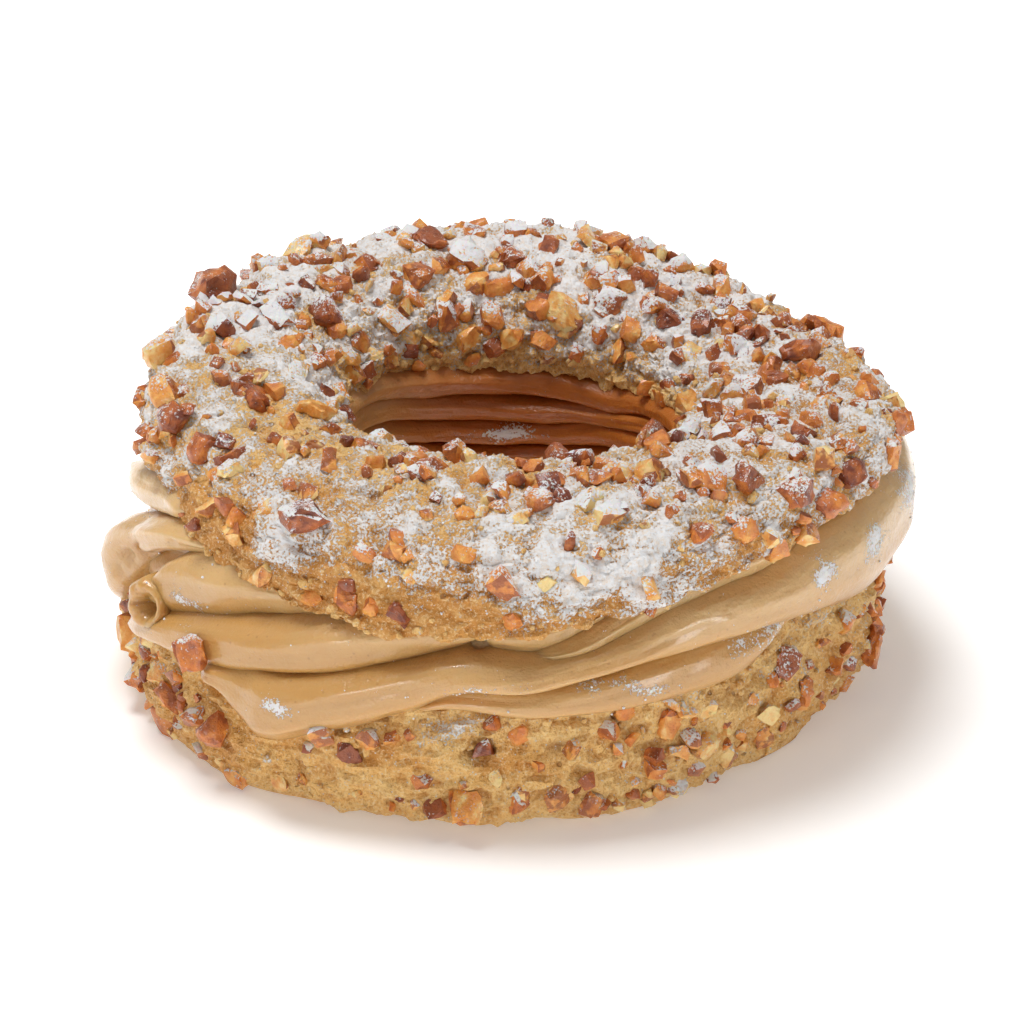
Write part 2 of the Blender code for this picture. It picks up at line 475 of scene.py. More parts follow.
def crust_material():
    """Baked dough: gold with straw-coloured and oven-brown patches, sandy, under its sugar, with
    painted shade in its hollows, pits and cracks and painted light on its rises.
    """
    material, shader, w = new_material("baked_choux")
    place = object_place(w)
    browned = w.sum(w.swing(place, 7 * MM, 3.0), w.times(read(w, "browned"), 2.0))
    crumb = w.noise(place, 1.6 * MM, 4.0, 0.7)
    sand = w.noise(place, 0.38 * MM, 3.0, 0.7)
    relief = read(w, "relief")
    colour = w.tinted(
        STRAW,
        (browned, -0.6, 1.6, 1.0, GOLD),
        (browned, 0.4, 2.2, 0.85, OVEN_BROWN),
        # Painted shade where the fine relief sinks, and painted light where it rises.
        (relief, 0.0, -0.9, 0.60, OVEN_BROWN),
        (relief, 0.0, 0.8, 0.50, STRAW),
        (crumb, 0.50, 0.38, 0.35, OVEN_BROWN),
        (sand, 0.48, 0.36, 0.60, OVEN_BROWN),
        (sand, 0.52, 0.64, 0.80, GRAIN_PALE),
    )
    # Pits get painted shade as well as being pressed in.
    pit = w.specks(place, 1.5 * MM, 0.15)
    colour = w.blend(w.times(pit, 0.5), colour, CRACK_SHADE)
    colour = w.blend(read(w, "crack"), colour, CRACK_SHADE)
    dust = w.times(w.specks(place, 0.5 * MM, 0.3), w.ease(read(w, "open"), 0.3, 0.9))
    cover = w.chain("MAXIMUM", w.sugar_cover(place, read(w, "sugar")), w.times(dust, 0.8))
    fluff = w.noise(place, 0.6 * MM, 4.0, 0.7)
    # Painted shade in the sugar's hollows, where the fluff is low.
    white = w.blend(w.ease(fluff, 0.55, 0.35, 0.0, 0.6), SUGAR_WHITE, SUGAR_SHADE)
    sugar_over(w, shader, cover, colour, 0.5, white)
    grit = w.sum(w.times(sand, 0.8), w.times(crumb, 0.9))
    dough = w.times(grit, w.ease(cover, 0.0, 1.0, 1.0, 0.3))
    coat, clumps = w.times(cover, 0.3), w.times(fluff, cover, 0.35)
    add_bump(w, shader, w.sum(dough, clumps, coat, w.times(pit, -0.6)), 0.6 * MM)
    return material


def cream_material():
    """Praline cream: pale tan, satin, with fine streaks along the piping and nut specks, painted
    shade in its creases and in the hole, and painted light higher up.
    """
    material, shader, w = new_material(
        "praline_cream", Coat_Roughness=0.17, Subsurface_Weight=0.35,
        Subsurface_Radius=(1.0, 0.6, 0.3), Subsurface_Scale=2.8 * MM,
    )
    place = object_place(w)
    piped = w.add("ShaderNodeAttribute", attribute_name="piped").outputs["Vector"]
    streak = w.noise(piped, 1.0, 3.0, 0.6)
    # Painted light higher up and at patches, with a little tone that differs at random.
    pale = w.sum(read(w, "pale"), w.times(w.swing(place, 8 * MM, 2.0), 0.12))
    colour = w.tinted(
        PRALINE, (pale, 0.0, 1.0, 1.0, PRALINE_PALE_AND_LIT), (streak, 0.3, 0.7, 0.12, PRALINE_PALE_AND_LIT)
    )
    colour = w.blend(w.times(w.specks(place, 0.8 * MM, 0.25), 0.35), colour, PRALINE_SPECK)
    # Painted shade in the creases between ropes.
    colour = w.blend(w.times(read(w, "tuck"), 0.15), colour, PRALINE_CREASE_SHADE)
    # Painted shade in the hole, which also takes off the coat there.
    deep = read(w, "deep")
    colour = w.blend(deep, colour, PRALINE_HOLE_SHADE)
    cover = w.sugar_cover(place, read(w, "sugar"))
    sugar_over(w, shader, cover, colour, 0.32)
    w.feed(shader.inputs["Coat Weight"], w.times(w.ease(w.sum(cover, deep), 0.8, 0.0), 0.8))
    grit = w.noise(place, 0.35 * MM, 2.0)
    dimple = w.noise(place, 1.7 * MM, 3.0, 0.6)
    relief = w.sum(w.times(streak, 0.5), w.times(grit, 0.3), dimple, w.times(cover, 0.5))
    add_bump(w, shader, relief, 0.28 * MM)
    return material


def nut_material():
    """Chopped toasted nuts: pale to maroon by the piece, dark skin, sugar on what looks up."""
    material, shader, w = new_material(
        "chopped_nuts", Coat_Roughness=0.15, Subsurface_Weight=0.25,
        Subsurface_Radius=(1.0, 0.4, 0.15), Subsurface_Scale=0.8 * MM,
    )
    place = object_place(w)
    cloudy = w.times(w.swing(place, 1.8 * MM, 3.0, 0.6), 0.40)
    shade = w.sum(read(w, "tone"), cloudy, w.times(read(w, "skin"), -0.15), 0.06)
    ramp = w.tree.nodes.new("ShaderNodeValToRGB")
    while len(ramp.color_ramp.elements) < len(NUT_TONES):
        ramp.color_ramp.elements.new(1.0)
    for stop, (position, colour) in zip(ramp.color_ramp.elements, NUT_TONES):
        stop.position = position
        stop.color = colour
    w.feed(ramp.inputs[0], shade)
    patchy = w.ease(w.noise(place, 1.1 * MM, 2.0), 0.40, 0.56, 0.1, 0.85)
    colour = w.blend(w.times(read(w, "skin"), patchy), ramp.outputs[0], NUT_SKIN)
    dust = w.times(w.specks(place, 0.40 * MM, 0.22), 0.8)
    lying = w.times(read(w, "sugar"), upward(w))
    cover = w.chain("MAXIMUM", w.sugar_cover(place, lying), dust)
    sugar_over(w, shader, cover, colour, 0.3)
    w.feed(shader.inputs["Coat Weight"], w.ease(cover, 0.5, 0.0, 0.0, 0.4))
    grain = w.noise(place, 0.6 * MM, 4.0, 0.65)
    add_bump(w, shader, w.sum(grain, w.times(cover, 0.2)), 0.35 * MM)
    return material


def sugar_material():
    """Loose icing sugar, dry and matt."""
    material, shader, w = new_material("icing_sugar", Roughness=SUGAR_ROUGHNESS)
    fluff = w.noise(object_place(w), 0.4 * MM, 2.0)
    w.feed(shader.inputs["Base Color"], w.blend(fluff, SUGAR_BRIGHT, SUGAR_WHITE))
    return material


def floor_material():
    """A white table that glows a little, more so away from the pastry."""
    material, shader, w = new_material(
        "studio_floor", Base_Color=TABLE_WHITE, Roughness=0.8, Emission_Color=(1, 1, 1, 1)
    )
    away = w.out("ShaderNodeVectorMath", object_place(w), operation="LENGTH")
    w.feed(shader.inputs["Emission Strength"], w.ease(away, *GLOW_GROWS, *GLOW))
    return material


# ---------------------------------------------------------------- baked crusts

CRUST_DIVISIONS = 3
RIM_FOLD = math.radians(50)
RIM_CREASE = 0.6
MERGE_DISTANCE = 1e-6
# How wide each kind of relief is.
LUMP_WIDTH = 9 * MM
WRINKLE_WIDTH = 3.4 * MM
CRUMB_WIDTH = 1.1 * MM
RAG_WIDTH = 2.0 * MM
HEAP_WIDTH = 1.3 * MM
# Wrinkles lie flat, as they would if heights were this much greater. Sugar is this thick at the
# least, for each unit of its depth, and heaps up by as much as this.
FLATNESS = (1.0, 1.0, 2.0)
HEAP_LEAST = 0.35
HEAP_RISE = 1.2

# (direction, lean, half-width of each, amount): icing sugar on the lid, less where negative.
LID_SUGAR = (
    (155, 80, 40, 45, 0.14),
    (185, 150, 18, 25, 0.35),
    (235, 8, 5, 26, 0.42),
    (254, 40, 8, 22, 0.12),
    (283, 20, 19, 36, 0.21),
    (80, 80, 50, 40, 0.28),
    (325, 80, 35, 50, 0.12),
    (165, 85, 14, 25, 0.25),
    (285, -8, 14, 14, 0.10),
    (230, -10, 20, 14, -0.35),
    (242, 78, 15, 26, -0.08),
    (221, 12, 10, 18, -0.45),
    (250, -2, 14, 16, -0.50),
    (212, 110, 14, 25, -0.20),
    (310, 5, 14, 14, -0.35),
    (75, 140, 60, 30, 0.12),
    (5, 140, 35, 30, 0.12),
)
LID_SUGAR_LEVEL = 0.52
LID_SUGAR_MOST = 1.2
# The leans between which sugar lies on the lid. Then the spans of lean, outside and in the
# hole, over which its ragged rims and its underside start.
LID_SUGARED = (-26, 12, 162, 195)
LID_RIMS = ((-34, -4), (165, 200))
LID_UNDERSIDE = ((-40, -22), (202, 222))

# (direction, lean, half-width, depth, raised lip): pits and cracks in the lid.
LID_PITS = (
    (245, 69, 1.1, 1.3, 0.0),
    (298, 40, 1.0, 1.1, 0.1),
    (266, 40, 1.3, 0.7, 0.0),
    (279, 18, 1.1, 0.6, 0.0),
    (225, 95, 1.4, 0.6, 0.2),
    (60, 60, 1.2, 0.8, 0.0),
    (120, 70, 1.4, 0.8, 0.0),
)
# (direction, height, half-width, depth, raised lip): the same in the lower crust's outer wall,
# with bumps where the depth is negative.
BASE_PITS = (
    (286, 14.0, 1.2, 1.5, 0.1),
    (277, 11.8, 1.5, 1.1, 0.3),
    (266, 11.3, 1.6, 1.0, 0.3),
    (273, 8.8, 1.3, 0.8, 0.4),
    (280, 8.2, 1.2, 0.8, 0.3),
    (254, 8.0, 1.4, 0.6, 0.2),
    (238, 6.0, 1.6, 0.7, 0.2),
    (330, 12.0, 1.5, 0.8, 0.2),
    (290, 9.5, 1.3, 0.7, 0.2),
    (60, 10.0, 1.5, 0.9, 0.2),
    (110, 8.0, 1.4, 0.8, 0.2),
    (150, 11.0, 1.5, 0.9, 0.2),
    (338, 3.0, 9.0, 1.6, 0.0),
    (308, 1.5, 7.0, 1.2, 0.0),
    (206, 2.0, 7.0, -1.6, 0.0),
    (226, 1.0, 9.0, -1.4, 0.0),
)
# (direction, lean or height, half-width of each, amount): painted shade in cracks, and where the
# oven has browned the crusts. Besides, the lid is browned below a lean and the lower crust at its
# foot, and their rims are paler.
LID_CRACK_SHADE = ((245, 69, 1.6, 5, 0.9), (298, 40, 1.2, 5, 0.6))
BASE_CRACK_SHADE = [(direction, height, 1.4, 0.8, 0.8) for direction, height, *_ in BASE_PITS[:3]]
LID_BROWN_BELOW, LID_BROWN, LID_RIM_PALE = 40, 0.95, 0.2
BASE_BROWN_BELOW, BASE_BROWN, BASE_RIM_PALE, BASE_PALE = 8, 0.3, 0.3, 0.25
LID_BROWNED = (
    (243, 40, 30, 40, 0.35),
    (225, 20, 15, 30, 0.18),
    (340, 80, 75, 60, 0.65),
    (60, 100, 60, 60, 0.30),
)
BASE_BROWNED = (
    (250, 11.0, 18.0, 4.0, 0.8),
    (276, 10.0, 14.0, 3.5, 0.6),
    (300, 13.0, 14.0, 4.0, 0.4),
    (216, 7.0, 20.0, 7.0, 0.9),
    (330, 8.0, 18.0, 6.0, 0.8),
)
# (direction, height, half-width of each, rise): where the lower crust's rim stands higher.
BASE_LIFTS = ((326, 16, 9, 20, 2.8),)
# (direction, height, half-width of each, amount): icing sugar on the lower crust.
BASE_SUGAR = (
    (261, 14.5, 7, 2.2, 0.42),
    (250, 16.0, 9, 1.5, 0.25),
    (297, 15.5, 8, 2.0, 0.32),
    (316, 13.0, 8, 3.0, 0.36),
    (326, 17.0, 8, 3.0, 0.30),
    (342, 13.0, 10, 4.0, 0.30),
    (60, 14.0, 40, 3.0, 0.30),
    (140, 13.0, 30, 3.0, 0.30),
)
# The lower crust is cut this far below the top of its solid. Its rim is this deep, and this much
# of its wall rises with the rim. Its relief starts over these heights above the tray.
TOP_OVER_CUT = 5
BASE_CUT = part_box("bottom_crust")[1].z / MM - TOP_OVER_CUT
BASE_RIM = 3
BASE_LIFTED = 9
OFF_TRAY = (0.2, 1.6)

# How deep each part of the relief is.
LID_RELIEF = dict(Lumps=0.7 * MM, Wrinkles=1.0 * MM, Crumb=0.4 * MM, Rag=1.2 * MM, Sugar=0.3 * MM)
BASE_RELIEF = dict(Lumps=0.8 * MM, Wrinkles=1.1 * MM, Crumb=0.4 * MM, Rag=0.8 * MM, Sugar=0.3 * MM)


def merged_copy(node):
    """A node's mesh, copied and with its loose triangles joined up, and a way to edit it."""
    mesh = frame["nodes"][node].data.copy()
    mesh.materials.clear()
    bm = bmesh.new()
    bm.from_mesh(mesh)
    bmesh.ops.remove_doubles(bm, verts=bm.verts, dist=MERGE_DISTANCE)
    return mesh, bm


def risen_dough(node, name):
    """Finely divided smooth copy of a crust's solid, with its rims kept."""
    mesh, bm = merged_copy(node)
    bmesh.ops.join_triangles(
        bm, faces=bm.faces, angle_face_threshold=math.pi, angle_shape_threshold=math.pi
    )
    crease = bm.edges.layers.float.new("crease_edge")
    for edge in bm.edges:
        if edge.calc_face_angle(0) > RIM_FOLD:
            edge[crease] = RIM_CREASE
    bm.to_mesh(mesh)
    bm.free()
    piece = add_piece(name, mesh)
    fine = piece.modifiers.new("fine", "SUBSURF")
    fine.levels = CRUST_DIVISIONS
    fine.render_levels = CRUST_DIVISIONS
    return finish_mesh(piece)


def crust_relief_tree():
    """Relief of baked dough: lumps, wrinkles, crumb, ragged rims and a coat of sugar."""
    w, inputs = geometry_tree("crust_relief", **dict.fromkeys(LID_RELIEF, "Float"))
    place = w.out("GeometryNodeInputPosition")
    lumps = w.times(w.swing(place, LUMP_WIDTH, 1.0), inputs["Lumps"])
    layered = w.out("ShaderNodeVectorMath", place, FLATNESS, operation="MULTIPLY")
    wrinkles = w.times(w.swing(layered, WRINKLE_WIDTH, 2.0, 0.6), inputs["Wrinkles"])
    crumb = w.times(w.swing(place, CRUMB_WIDTH, 2.0, 0.6), inputs["Crumb"])
    rag = w.times(w.swing(place, RAG_WIDTH, 3.0, 0.7), w.named("rim"), inputs["Rag"])
    relief = w.times(w.sum(lumps, wrinkles, crumb, rag), w.named("open"))
    # The fine relief, kept for the finish to paint shade in its hollows and light on its rises.
    fine = w.times(w.sum(wrinkles, crumb), 1 / MM)
    noted = w.out(
        "GeometryNodeStoreNamedAttribute", inputs["Geometry"], None, "relief", fine,
        data_type="FLOAT",
    )
    baked = w.moved(noted, relief)
    cover = w.sugar_cover(place, w.named("sugar"))
    heap = w.sum(HEAP_LEAST, w.times(w.noise(place, HEAP_WIDTH, 3.0, 0.6), HEAP_RISE))
    dusted = w.moved(baked, w.times(cover, heap, inputs["Sugar"], w.named("open")))
    return finished_tree(w, inputs, dusted)


def lid_sugar(points):
    """How thickly sugar lies on the lid, from 0 to about 1."""
    lean = leans(points)
    amount = LID_SUGAR_LEVEL + patchwork(directions(points), lean, LID_SUGAR)
    return amount * plateau(lean, *LID_SUGARED)


def past_ends(lean, spans):
    """0 on the lid's top, rising to 1 over these spans at its outer and inner ends."""
    outer, inner = spans
    return np.maximum(1 - eased(lean, *outer), eased(lean, *inner))


def bake_lid(tree, material):
    """The lid: domed, browned on its lower slopes, thick with sugar on top."""
    lid = risen_dough("top_crust", "baked_lid")
    points = press(lid.data, lid_spot, LID_PITS)
    direction, lean = directions(points), leans(points)
    rim = past_ends(lean, LID_RIMS)
    slope = eased(LID_BROWN_BELOW - lean, 0, LID_BROWN_BELOW)
    browned = LID_BROWN * slope * (1 - rim) - LID_RIM_PALE * rim
    mark(
        lid.data,
        sugar=lid_sugar(points).clip(0, LID_SUGAR_MOST),
        rim=rim,
        open=1 - past_ends(lean, LID_UNDERSIDE),
        browned=browned + patchwork(direction, lean, LID_BROWNED),
        crack=patchwork(direction, lean, LID_CRACK_SHADE).clip(0, 1),
    )
    return grow(lid, tree, material, **LID_RELIEF)


def bake_base(tree, material):
    """The lower crust: straw-coloured, rough and pitted, with a little sugar on its shoulder."""
    base = risen_dough("bottom_crust", "baked_base")
    points = press(base.data, wall_spot, BASE_PITS)
    direction, height, outside = on_wall(points)
    lift = eased(height, BASE_CUT - BASE_LIFTED, BASE_CUT) * outside
    points[:, 2] += lift * patchwork(direction, height, BASE_LIFTS) * MM
    move_points(base.data, points)
    height = points[:, 2] / MM
    rim = eased(height, BASE_CUT - BASE_RIM, BASE_CUT)
    foot = eased(BASE_BROWN_BELOW - height, 0, BASE_BROWN_BELOW)
    browned = patchwork(direction, height, BASE_BROWNED) - BASE_PALE - BASE_RIM_PALE * rim
    mark(
        base.data,
        sugar=patchwork(direction, height, BASE_SUGAR) * outside,
        rim=rim,
        open=eased(height, *OFF_TRAY),
        browned=browned + BASE_BROWN * foot,
        crack=patchwork(direction, height, BASE_CRACK_SHADE).clip(0, 1) * outside,
    )
    return rest_on_tray(grow(base, tree, material, **BASE_RELIEF))


# ---------------------------------------------------------------- piped cream

ROPE_SIDES = 32
ROPE_STEP = 0.8
ROPE_DEPTH = 5.5
HOLE_ROPE_DEPTH = -4.0
ROPE_SQUARENESS = 2.5
ROPE_FULLNESS = 1.13
# A rope's points stand closer on its front than on its back. It gets painted shade in its creases
# behind this span, counted outwards from its middle at 0 to its crest at 1.
ROPE_FRONT, ROPE_BACK = 0.55, 0.45
CREASE_SHADE_SPAN = (0.1, 0.75)
# The share of the full depth that a rope has: the first of these where it is thinnest, and one
# more for every DEEPENS_OVER of half its thickness, up to 1.
THIN_DEPTH = 0.35
DEEPENS_OVER = 3
# Where half its thickness is under END_HALF it sinks in, by END_SINK at the most, and it tapers
# over its last rings.
END_HALF = 1.8
END_SINK = 4.0
END_STEPS = 4
LEAST_TAPER = 0.05
# How many rings each way a rope's route and its crest are smoothed over.
ROUTE_EASE = 5
CREST_EASE = 4
# A rope's crest is at least this far from the axis, and leans in above this level, and out
# below it.
LEAST_CREST = 47.0
CREST_LEVEL = 22.0
CREST_SLOPE = 0.12
# The core's thickness, for that of the solid.
CORE_SHARE = 0.75
# In the hole: how far a crest stands behind the solid's wall, its swell, and how far the swell
# of each rope is turned from the last one's.
HOLE_BEHIND, HOLE_SWELL, HOLE_SHIFT = 0.6, 0.4, 70
# How far the pattern on the ropes goes on with each ring, each side and each rope, how wide its
# swells and ridges are, and how deep.
PATTERN_STEPS = (0.1, 0.55, 7.0)
SWELL_WIDTH = 2.2
RIDGE_WIDTH = 1.0
CREAM_RELIEF = dict(Swells=0.4 * MM, Ridges=0.09 * MM)

# Each rope of cream: how far it stands proud of the solid's wall, then its route as
# (direction, height, half its thickness). Directions past 360 go on round the ring.
OUTER_ROPES = {
    "top_left_rope": (0.7, (
        (181, 27.2, 0.8), (183.5, 27.2, 1.8), (186, 27.3, 2.5), (191, 27.9, 2.5), (196, 28.8, 2.5),
        (203, 30.4, 2.5), (208, 31.4, 2.0), (213, 32.0, 1.0),
    )),
    "folded_rope": (1.0, (
        (175, 13.8, 1.0), (180, 13.9, 3.2), (184, 14.0, 4.6), (187.5, 15.2, 4.9), (191, 17.9, 4.8),
        (194, 20.6, 4.4), (197, 22.7, 3.6), (201, 24.9, 2.4), (205, 26.3, 2.1), (209, 28.0, 1.9),
        (215, 29.0, 1.5), (221, 29.6, 0.8),
    )),
    "curled_rope": (0.1, (
        (208.6, 20.8, 2.8), (209.8, 21.4, 3.4), (212, 22.4, 3.9), (216, 23.7, 4.2),
        (223, 25.3, 3.9), (228, 26.3, 3.3), (234, 26.8, 2.7), (238, 27.4, 2.1), (243, 27.7, 1.5),
        (248, 28.0, 0.8),
    )),
    "middle_rope": (0.2, (
        (200, 13.4, 0.8), (205, 15.2, 1.2), (210, 16.4, 1.7), (214, 17.3, 2.1), (218, 18.0, 2.6),
        (222, 18.7, 3.1), (226, 19.4, 3.2), (232, 20.7, 3.0), (237, 21.8, 3.3), (244, 23.5, 3.3),
        (252, 25.0, 3.0), (259, 25.9, 2.5), (263, 26.6, 1.8), (268, 27.2, 0.9),
    )),
    "long_rope": (0.5, (
        (222, 15.8, 0.7), (226, 16.0, 1.4), (228, 15.5, 2.2), (230, 14.8, 3.2), (231.5, 14.2, 3.9),
        (234, 14.1, 4.2), (238, 14.7, 4.1), (241, 15.9, 3.7), (245, 17.0, 3.6), (250, 18.2, 3.6),
        (253, 19.4, 3.1), (257, 20.3, 2.9), (261.5, 22.0, 2.3), (265, 22.4, 2.3), (268, 22.1, 2.2),
        (273, 21.8, 1.9), (277, 22.6, 1.9), (282, 23.3, 1.9), (288, 24.2, 2.0), (292, 25.1, 2.5),
        (297, 25.8, 2.8), (303, 26.2, 3.0), (310, 26.0, 3.3), (315, 25.9, 4.0), (320, 25.8, 4.7),
        (326, 25.5, 5.2), (333, 25.2, 5.7), (341, 25.4, 5.6), (350, 26.0, 5.0), (370, 26.3, 4.2),
        (400, 25.5, 3.8), (430, 24.7, 3.5), (460, 24.5, 3.5), (490, 24.8, 3.9), (508, 24.0, 3.4),
        (518, 23.2, 2.2), (526, 22.6, 0.7),
    )),
    "tucked_rope": (-0.9, (
        (264.5, 26.2, 1.0), (267, 26.0, 1.7), (270, 25.9, 2.1), (274, 26.0, 2.4), (278, 26.8, 2.2),
        (282, 28.0, 1.7), (287, 29.0, 1.0),
    )),
    "low_rope": (0.1, (
        (255, 16.6, 0.5), (260, 18.3, 1.1), (264, 18.8, 1.4), (268, 18.8, 1.5), (273, 18.6, 1.8),
        (277, 18.8, 2.2), (283, 19.1, 2.6), (290, 19.6, 3.0), (295, 19.7, 3.1), (299, 20.1, 3.4),
        (303.5, 20.2, 3.2), (307, 20.7, 2.6), (310, 21.4, 1.9), (313, 22.3, 1.2), (317, 23.2, 0.6),
        (321, 23.8, 0.4),
    )),
    "round_rope": (-0.3, (
        (324, 20.6, 0.6), (330, 20.0, 1.2), (337, 19.4, 1.6), (345, 19.2, 2.2), (360, 19.3, 3.3),
        (390, 20.0, 3.2), (420, 20.0, 3.0), (450, 20.0, 3.0), (480, 19.2, 3.2), (510, 17.4, 3.4),
        (530, 16.2, 3.0), (540, 15.0, 2.4), (549, 13.5, 1.3),
    )),
    "high_rope": (0.0, (
        (273, 24.0, 0.6), (278, 24.9, 0.9), (282, 25.9, 1.3), (287.5, 27.3, 1.6), (292, 28.8, 1.7),
        (296.5, 29.9, 1.6), (303, 30.6, 1.7), (310, 31.0, 2.0), (315, 31.8, 2.0), (320, 32.6, 2.0),
        (326, 33.0, 2.2), (333, 33.4, 2.2), (345, 33.0, 2.2), (360, 31.8, 2.2), (380, 30.3, 2.0),
        (405, 29.5, 1.6), (435, 29.0, 1.4), (460, 29.2, 1.6), (490, 30.2, 1.9), (504, 30.6, 1.2),
        (514, 30.8, 0.5),
    )),
    "edge_rope": (-0.4, (
        (281, 27.4, 0.5), (286, 28.9, 0.9), (292, 30.6, 1.0), (298, 32.0, 1.1), (306, 32.8, 1.2),
        (314, 33.6, 1.1), (320, 34.4, 0.7),
    )),
}
# Ropes in the hole go all the way round: (direction, height, half its thickness).
INNER_ROPES = (
    (
        (10, 29.8, 1.9), (36, 28.6, 1.9), (50, 27.6, 2.0), (64, 27.7, 2.2), (93, 28.1, 2.2),
        (123, 29.1, 2.1), (143, 30.8, 2.0), (170, 31.0, 1.9), (250, 29.6, 2.0), (330, 29.6, 2.0),
    ),
    (
        (10, 27.0, 1.9), (30, 26.4, 1.5), (50, 24.8, 1.5), (64, 24.6, 1.7), (79, 24.0, 2.0),
        (93, 24.2, 2.1), (107, 24.6, 2.1), (123, 25.5, 2.1), (138, 27.2, 2.2), (160, 28.4, 2.2),
        (210, 26.4, 2.0), (330, 26.4, 2.0),
    ),
    (
        (10, 24.0, 2.0), (30, 23.6, 2.2), (55, 22.6, 2.3), (73, 20.8, 2.0), (93, 20.4, 2.0),
        (107, 21.0, 2.0), (123, 22.1, 2.1), (138, 23.8, 2.1), (154, 25.2, 2.0), (210, 22.9, 2.0),
        (330, 22.9, 2.0),
    ),
    (
        (10, 19.8, 2.2), (55, 18.6, 2.2), (73, 17.1, 2.0), (93, 16.6, 2.0), (114, 17.8, 2.1),
        (130, 19.8, 2.1), (154, 21.2, 2.1), (210, 19.0, 2.2), (330, 19.2, 2.2),
    ),
)

# The open end of the curled rope: where its mouth is, the way that looks, and its wall as
# (distance behind the mouth, radius, how far off centre) from the outside, over the lip, to
# the bottom inside.
CURL_PLACE = (210.6, 20.1, 0.9)
CURL_LOOK = (-0.56, -0.81, 0.15)
CURL_LIP = 7
CURL_HEIGHT = 1.1
CURL_WALL = (
    (7.0, 2.0, 0), (5.0, 2.6, 0), (3.2, 2.9, 0), (1.6, 2.9, 0), (0.6, 2.8, 0), (0.1, 2.6, 0.05),
    (-0.2, 2.25, 0.15), (-0.1, 1.85, 0.3), (0.4, 1.5, 0.45), (1.1, 1.2, 0.6), (1.9, 0.9, 0.7),
    (2.7, 0.6, 0.8), (3.2, 0.2, 0.8),
)

# (direction, height, half-width, depth, raised lip): marks that the piping left in the cream.
CREAM_MARKS = (
    (202.5, 22.9, 1.1, 2.0, 0.0),
    (200, 22.0, 1.3, 2.2, 0.0),
    (197, 20.2, 1.2, 1.6, 0.0),
    (194.5, 17.8, 1.0, 1.0, 0.0),
    (183, 22.2, 2.6, 2.4, 0.0),
    (190, 23.4, 1.8, 1.6, 0.0),
    (265.5, 25.4, 0.9, 1.6, 0.0),
    (271, 26.6, 0.7, 0.5, 0.1),
    (242, 22.4, 0.5, 0.25, 0.0),
    (301, 26.4, 0.8, -0.25, 0.0),
    (308, 26.6, 0.6, 0.3, 0.1),
    (278, 26.6, 0.4, 0.4, 0.0),
    (212, 28.4, 0.7, 0.3, 0.1),
)
# (direction, height, half-width of each, depth): where the ropes lie deeper in.
CREAM_HOLLOWS = ((171, 18, 12, 8, 3.0),)
# (direction, height, half-width of each, amount): where the cream gets painted light, and where
# there is sugar on it. It gets more painted light, too, the higher up it is between these heights.
CREAM_LIT_OVER, CREAM_LIT_TOP = (20, 31), 0.9
CREAM_LIT_PATCHES = ((190, 17, 16, 7, 0.4), (270, 20, 12, 5, 0.5))
CREAM_SUGAR = (
    (319.5, 27.2, 3.0, 2.2, 0.85),
    (332, 27.0, 3.0, 2.5, 0.80),
    (348, 28.0, 7.0, 4.0, 0.65),
    (290, 19.5, 3.0, 0.9, 0.75),
    (239, 16.0, 3.0, 1.2, 0.75),
    (281, 20.7, 8.0, 1.2, 0.40),
    (265, 21.1, 8.0, 1.6, 0.36),
    (310, 22.0, 12.0, 2.5, 0.38),
    (218, 22.5, 6.0, 1.0, 0.40),
    (60, 26.0, 40.0, 4.0, 0.35),
    (140, 26.0, 40.0, 4.0, 0.35),
)
# The same for the hole, where the cream gets this much painted shade, less at the lit places.
HOLE_SUGAR = ((91, 20.9, 16, 0.9, 0.6), (140, 22.6, 12, 0.7, 0.35))
HOLE_SHADE = 0.96
HOLE_LIT = ((165, 27, 35, 9, 0.8),)


def smooth_route(stops):
    """A value at every ROPE_STEP degrees of a route, rounded off at its stops."""
    directions_at, *tracks = np.array(stops, float).T
    along = np.arange(directions_at[0], directions_at[-1] + ROPE_STEP / 2, ROPE_STEP)
    window = np.hanning(2 * ROUTE_EASE + 3)[1:-1]
    window /= window.sum()
    smoothed = []
    for track in tracks:
        padded = np.pad(np.interp(along, directions_at, track), ROUTE_EASE, mode="edge")
        smoothed.append(np.convolve(padded, window, mode="valid"))
    return along, *smoothed


def squared(wave):
    """A sine or cosine with fuller shoulders."""
    return np.sign(wave) * np.abs(wave) ** (2 / ROPE_SQUARENESS)


def rope_section():
    """Section of a rope, each from -1 to 1: how far out towards its crest, and how high."""
    share = np.linspace(-1, 1, ROPE_SIDES, endpoint=False)
    turns = math.pi * share * (ROPE_FRONT + ROPE_BACK * np.abs(share))
    return squared(np.cos(turns)), squared(np.sin(turns))


def rope_tube(along, heights, thicknesses, crests, depth):
    """Points of a rope, as rings of ROPE_SIDES points. depth points from its crest inwards."""
    across, upwards = rope_section()
    rings = []
    for direction, height, half, crest in zip(along, heights, thicknesses, crests):
        inward = depth * min(1.0, THIN_DEPTH + half / DEEPENS_OVER)
        sunk = math.copysign(END_SINK * max(0.0, 1 - half / END_HALF) ** 2, depth)
        radius = (crest - sunk - inward) + inward * across
        out = out_from(direction)
        rings.append(np.column_stack((radius * out.x, radius * out.y, height + half * upwards)) * MM)
    return np.array(rings)


def tube_faces(ring_count, sides, first, closed):
    """Faces that skin the rings of one tube, whose points start at index first."""
    faces = []
    for ring in range(ring_count if closed else ring_count - 1):
        here = first + ring * sides
        there = first + (ring + 1) % ring_count * sides
        for side in range(sides):
            after = (side + 1) % sides
            faces.append((here + side, there + side, there + after, here + after))
    if not closed:
        last = first + (ring_count - 1) * sides
        faces.append(tuple(range(first, first + sides)))
        faces.append(tuple(range(last + sides - 1, last - 1, -1)))
    return faces


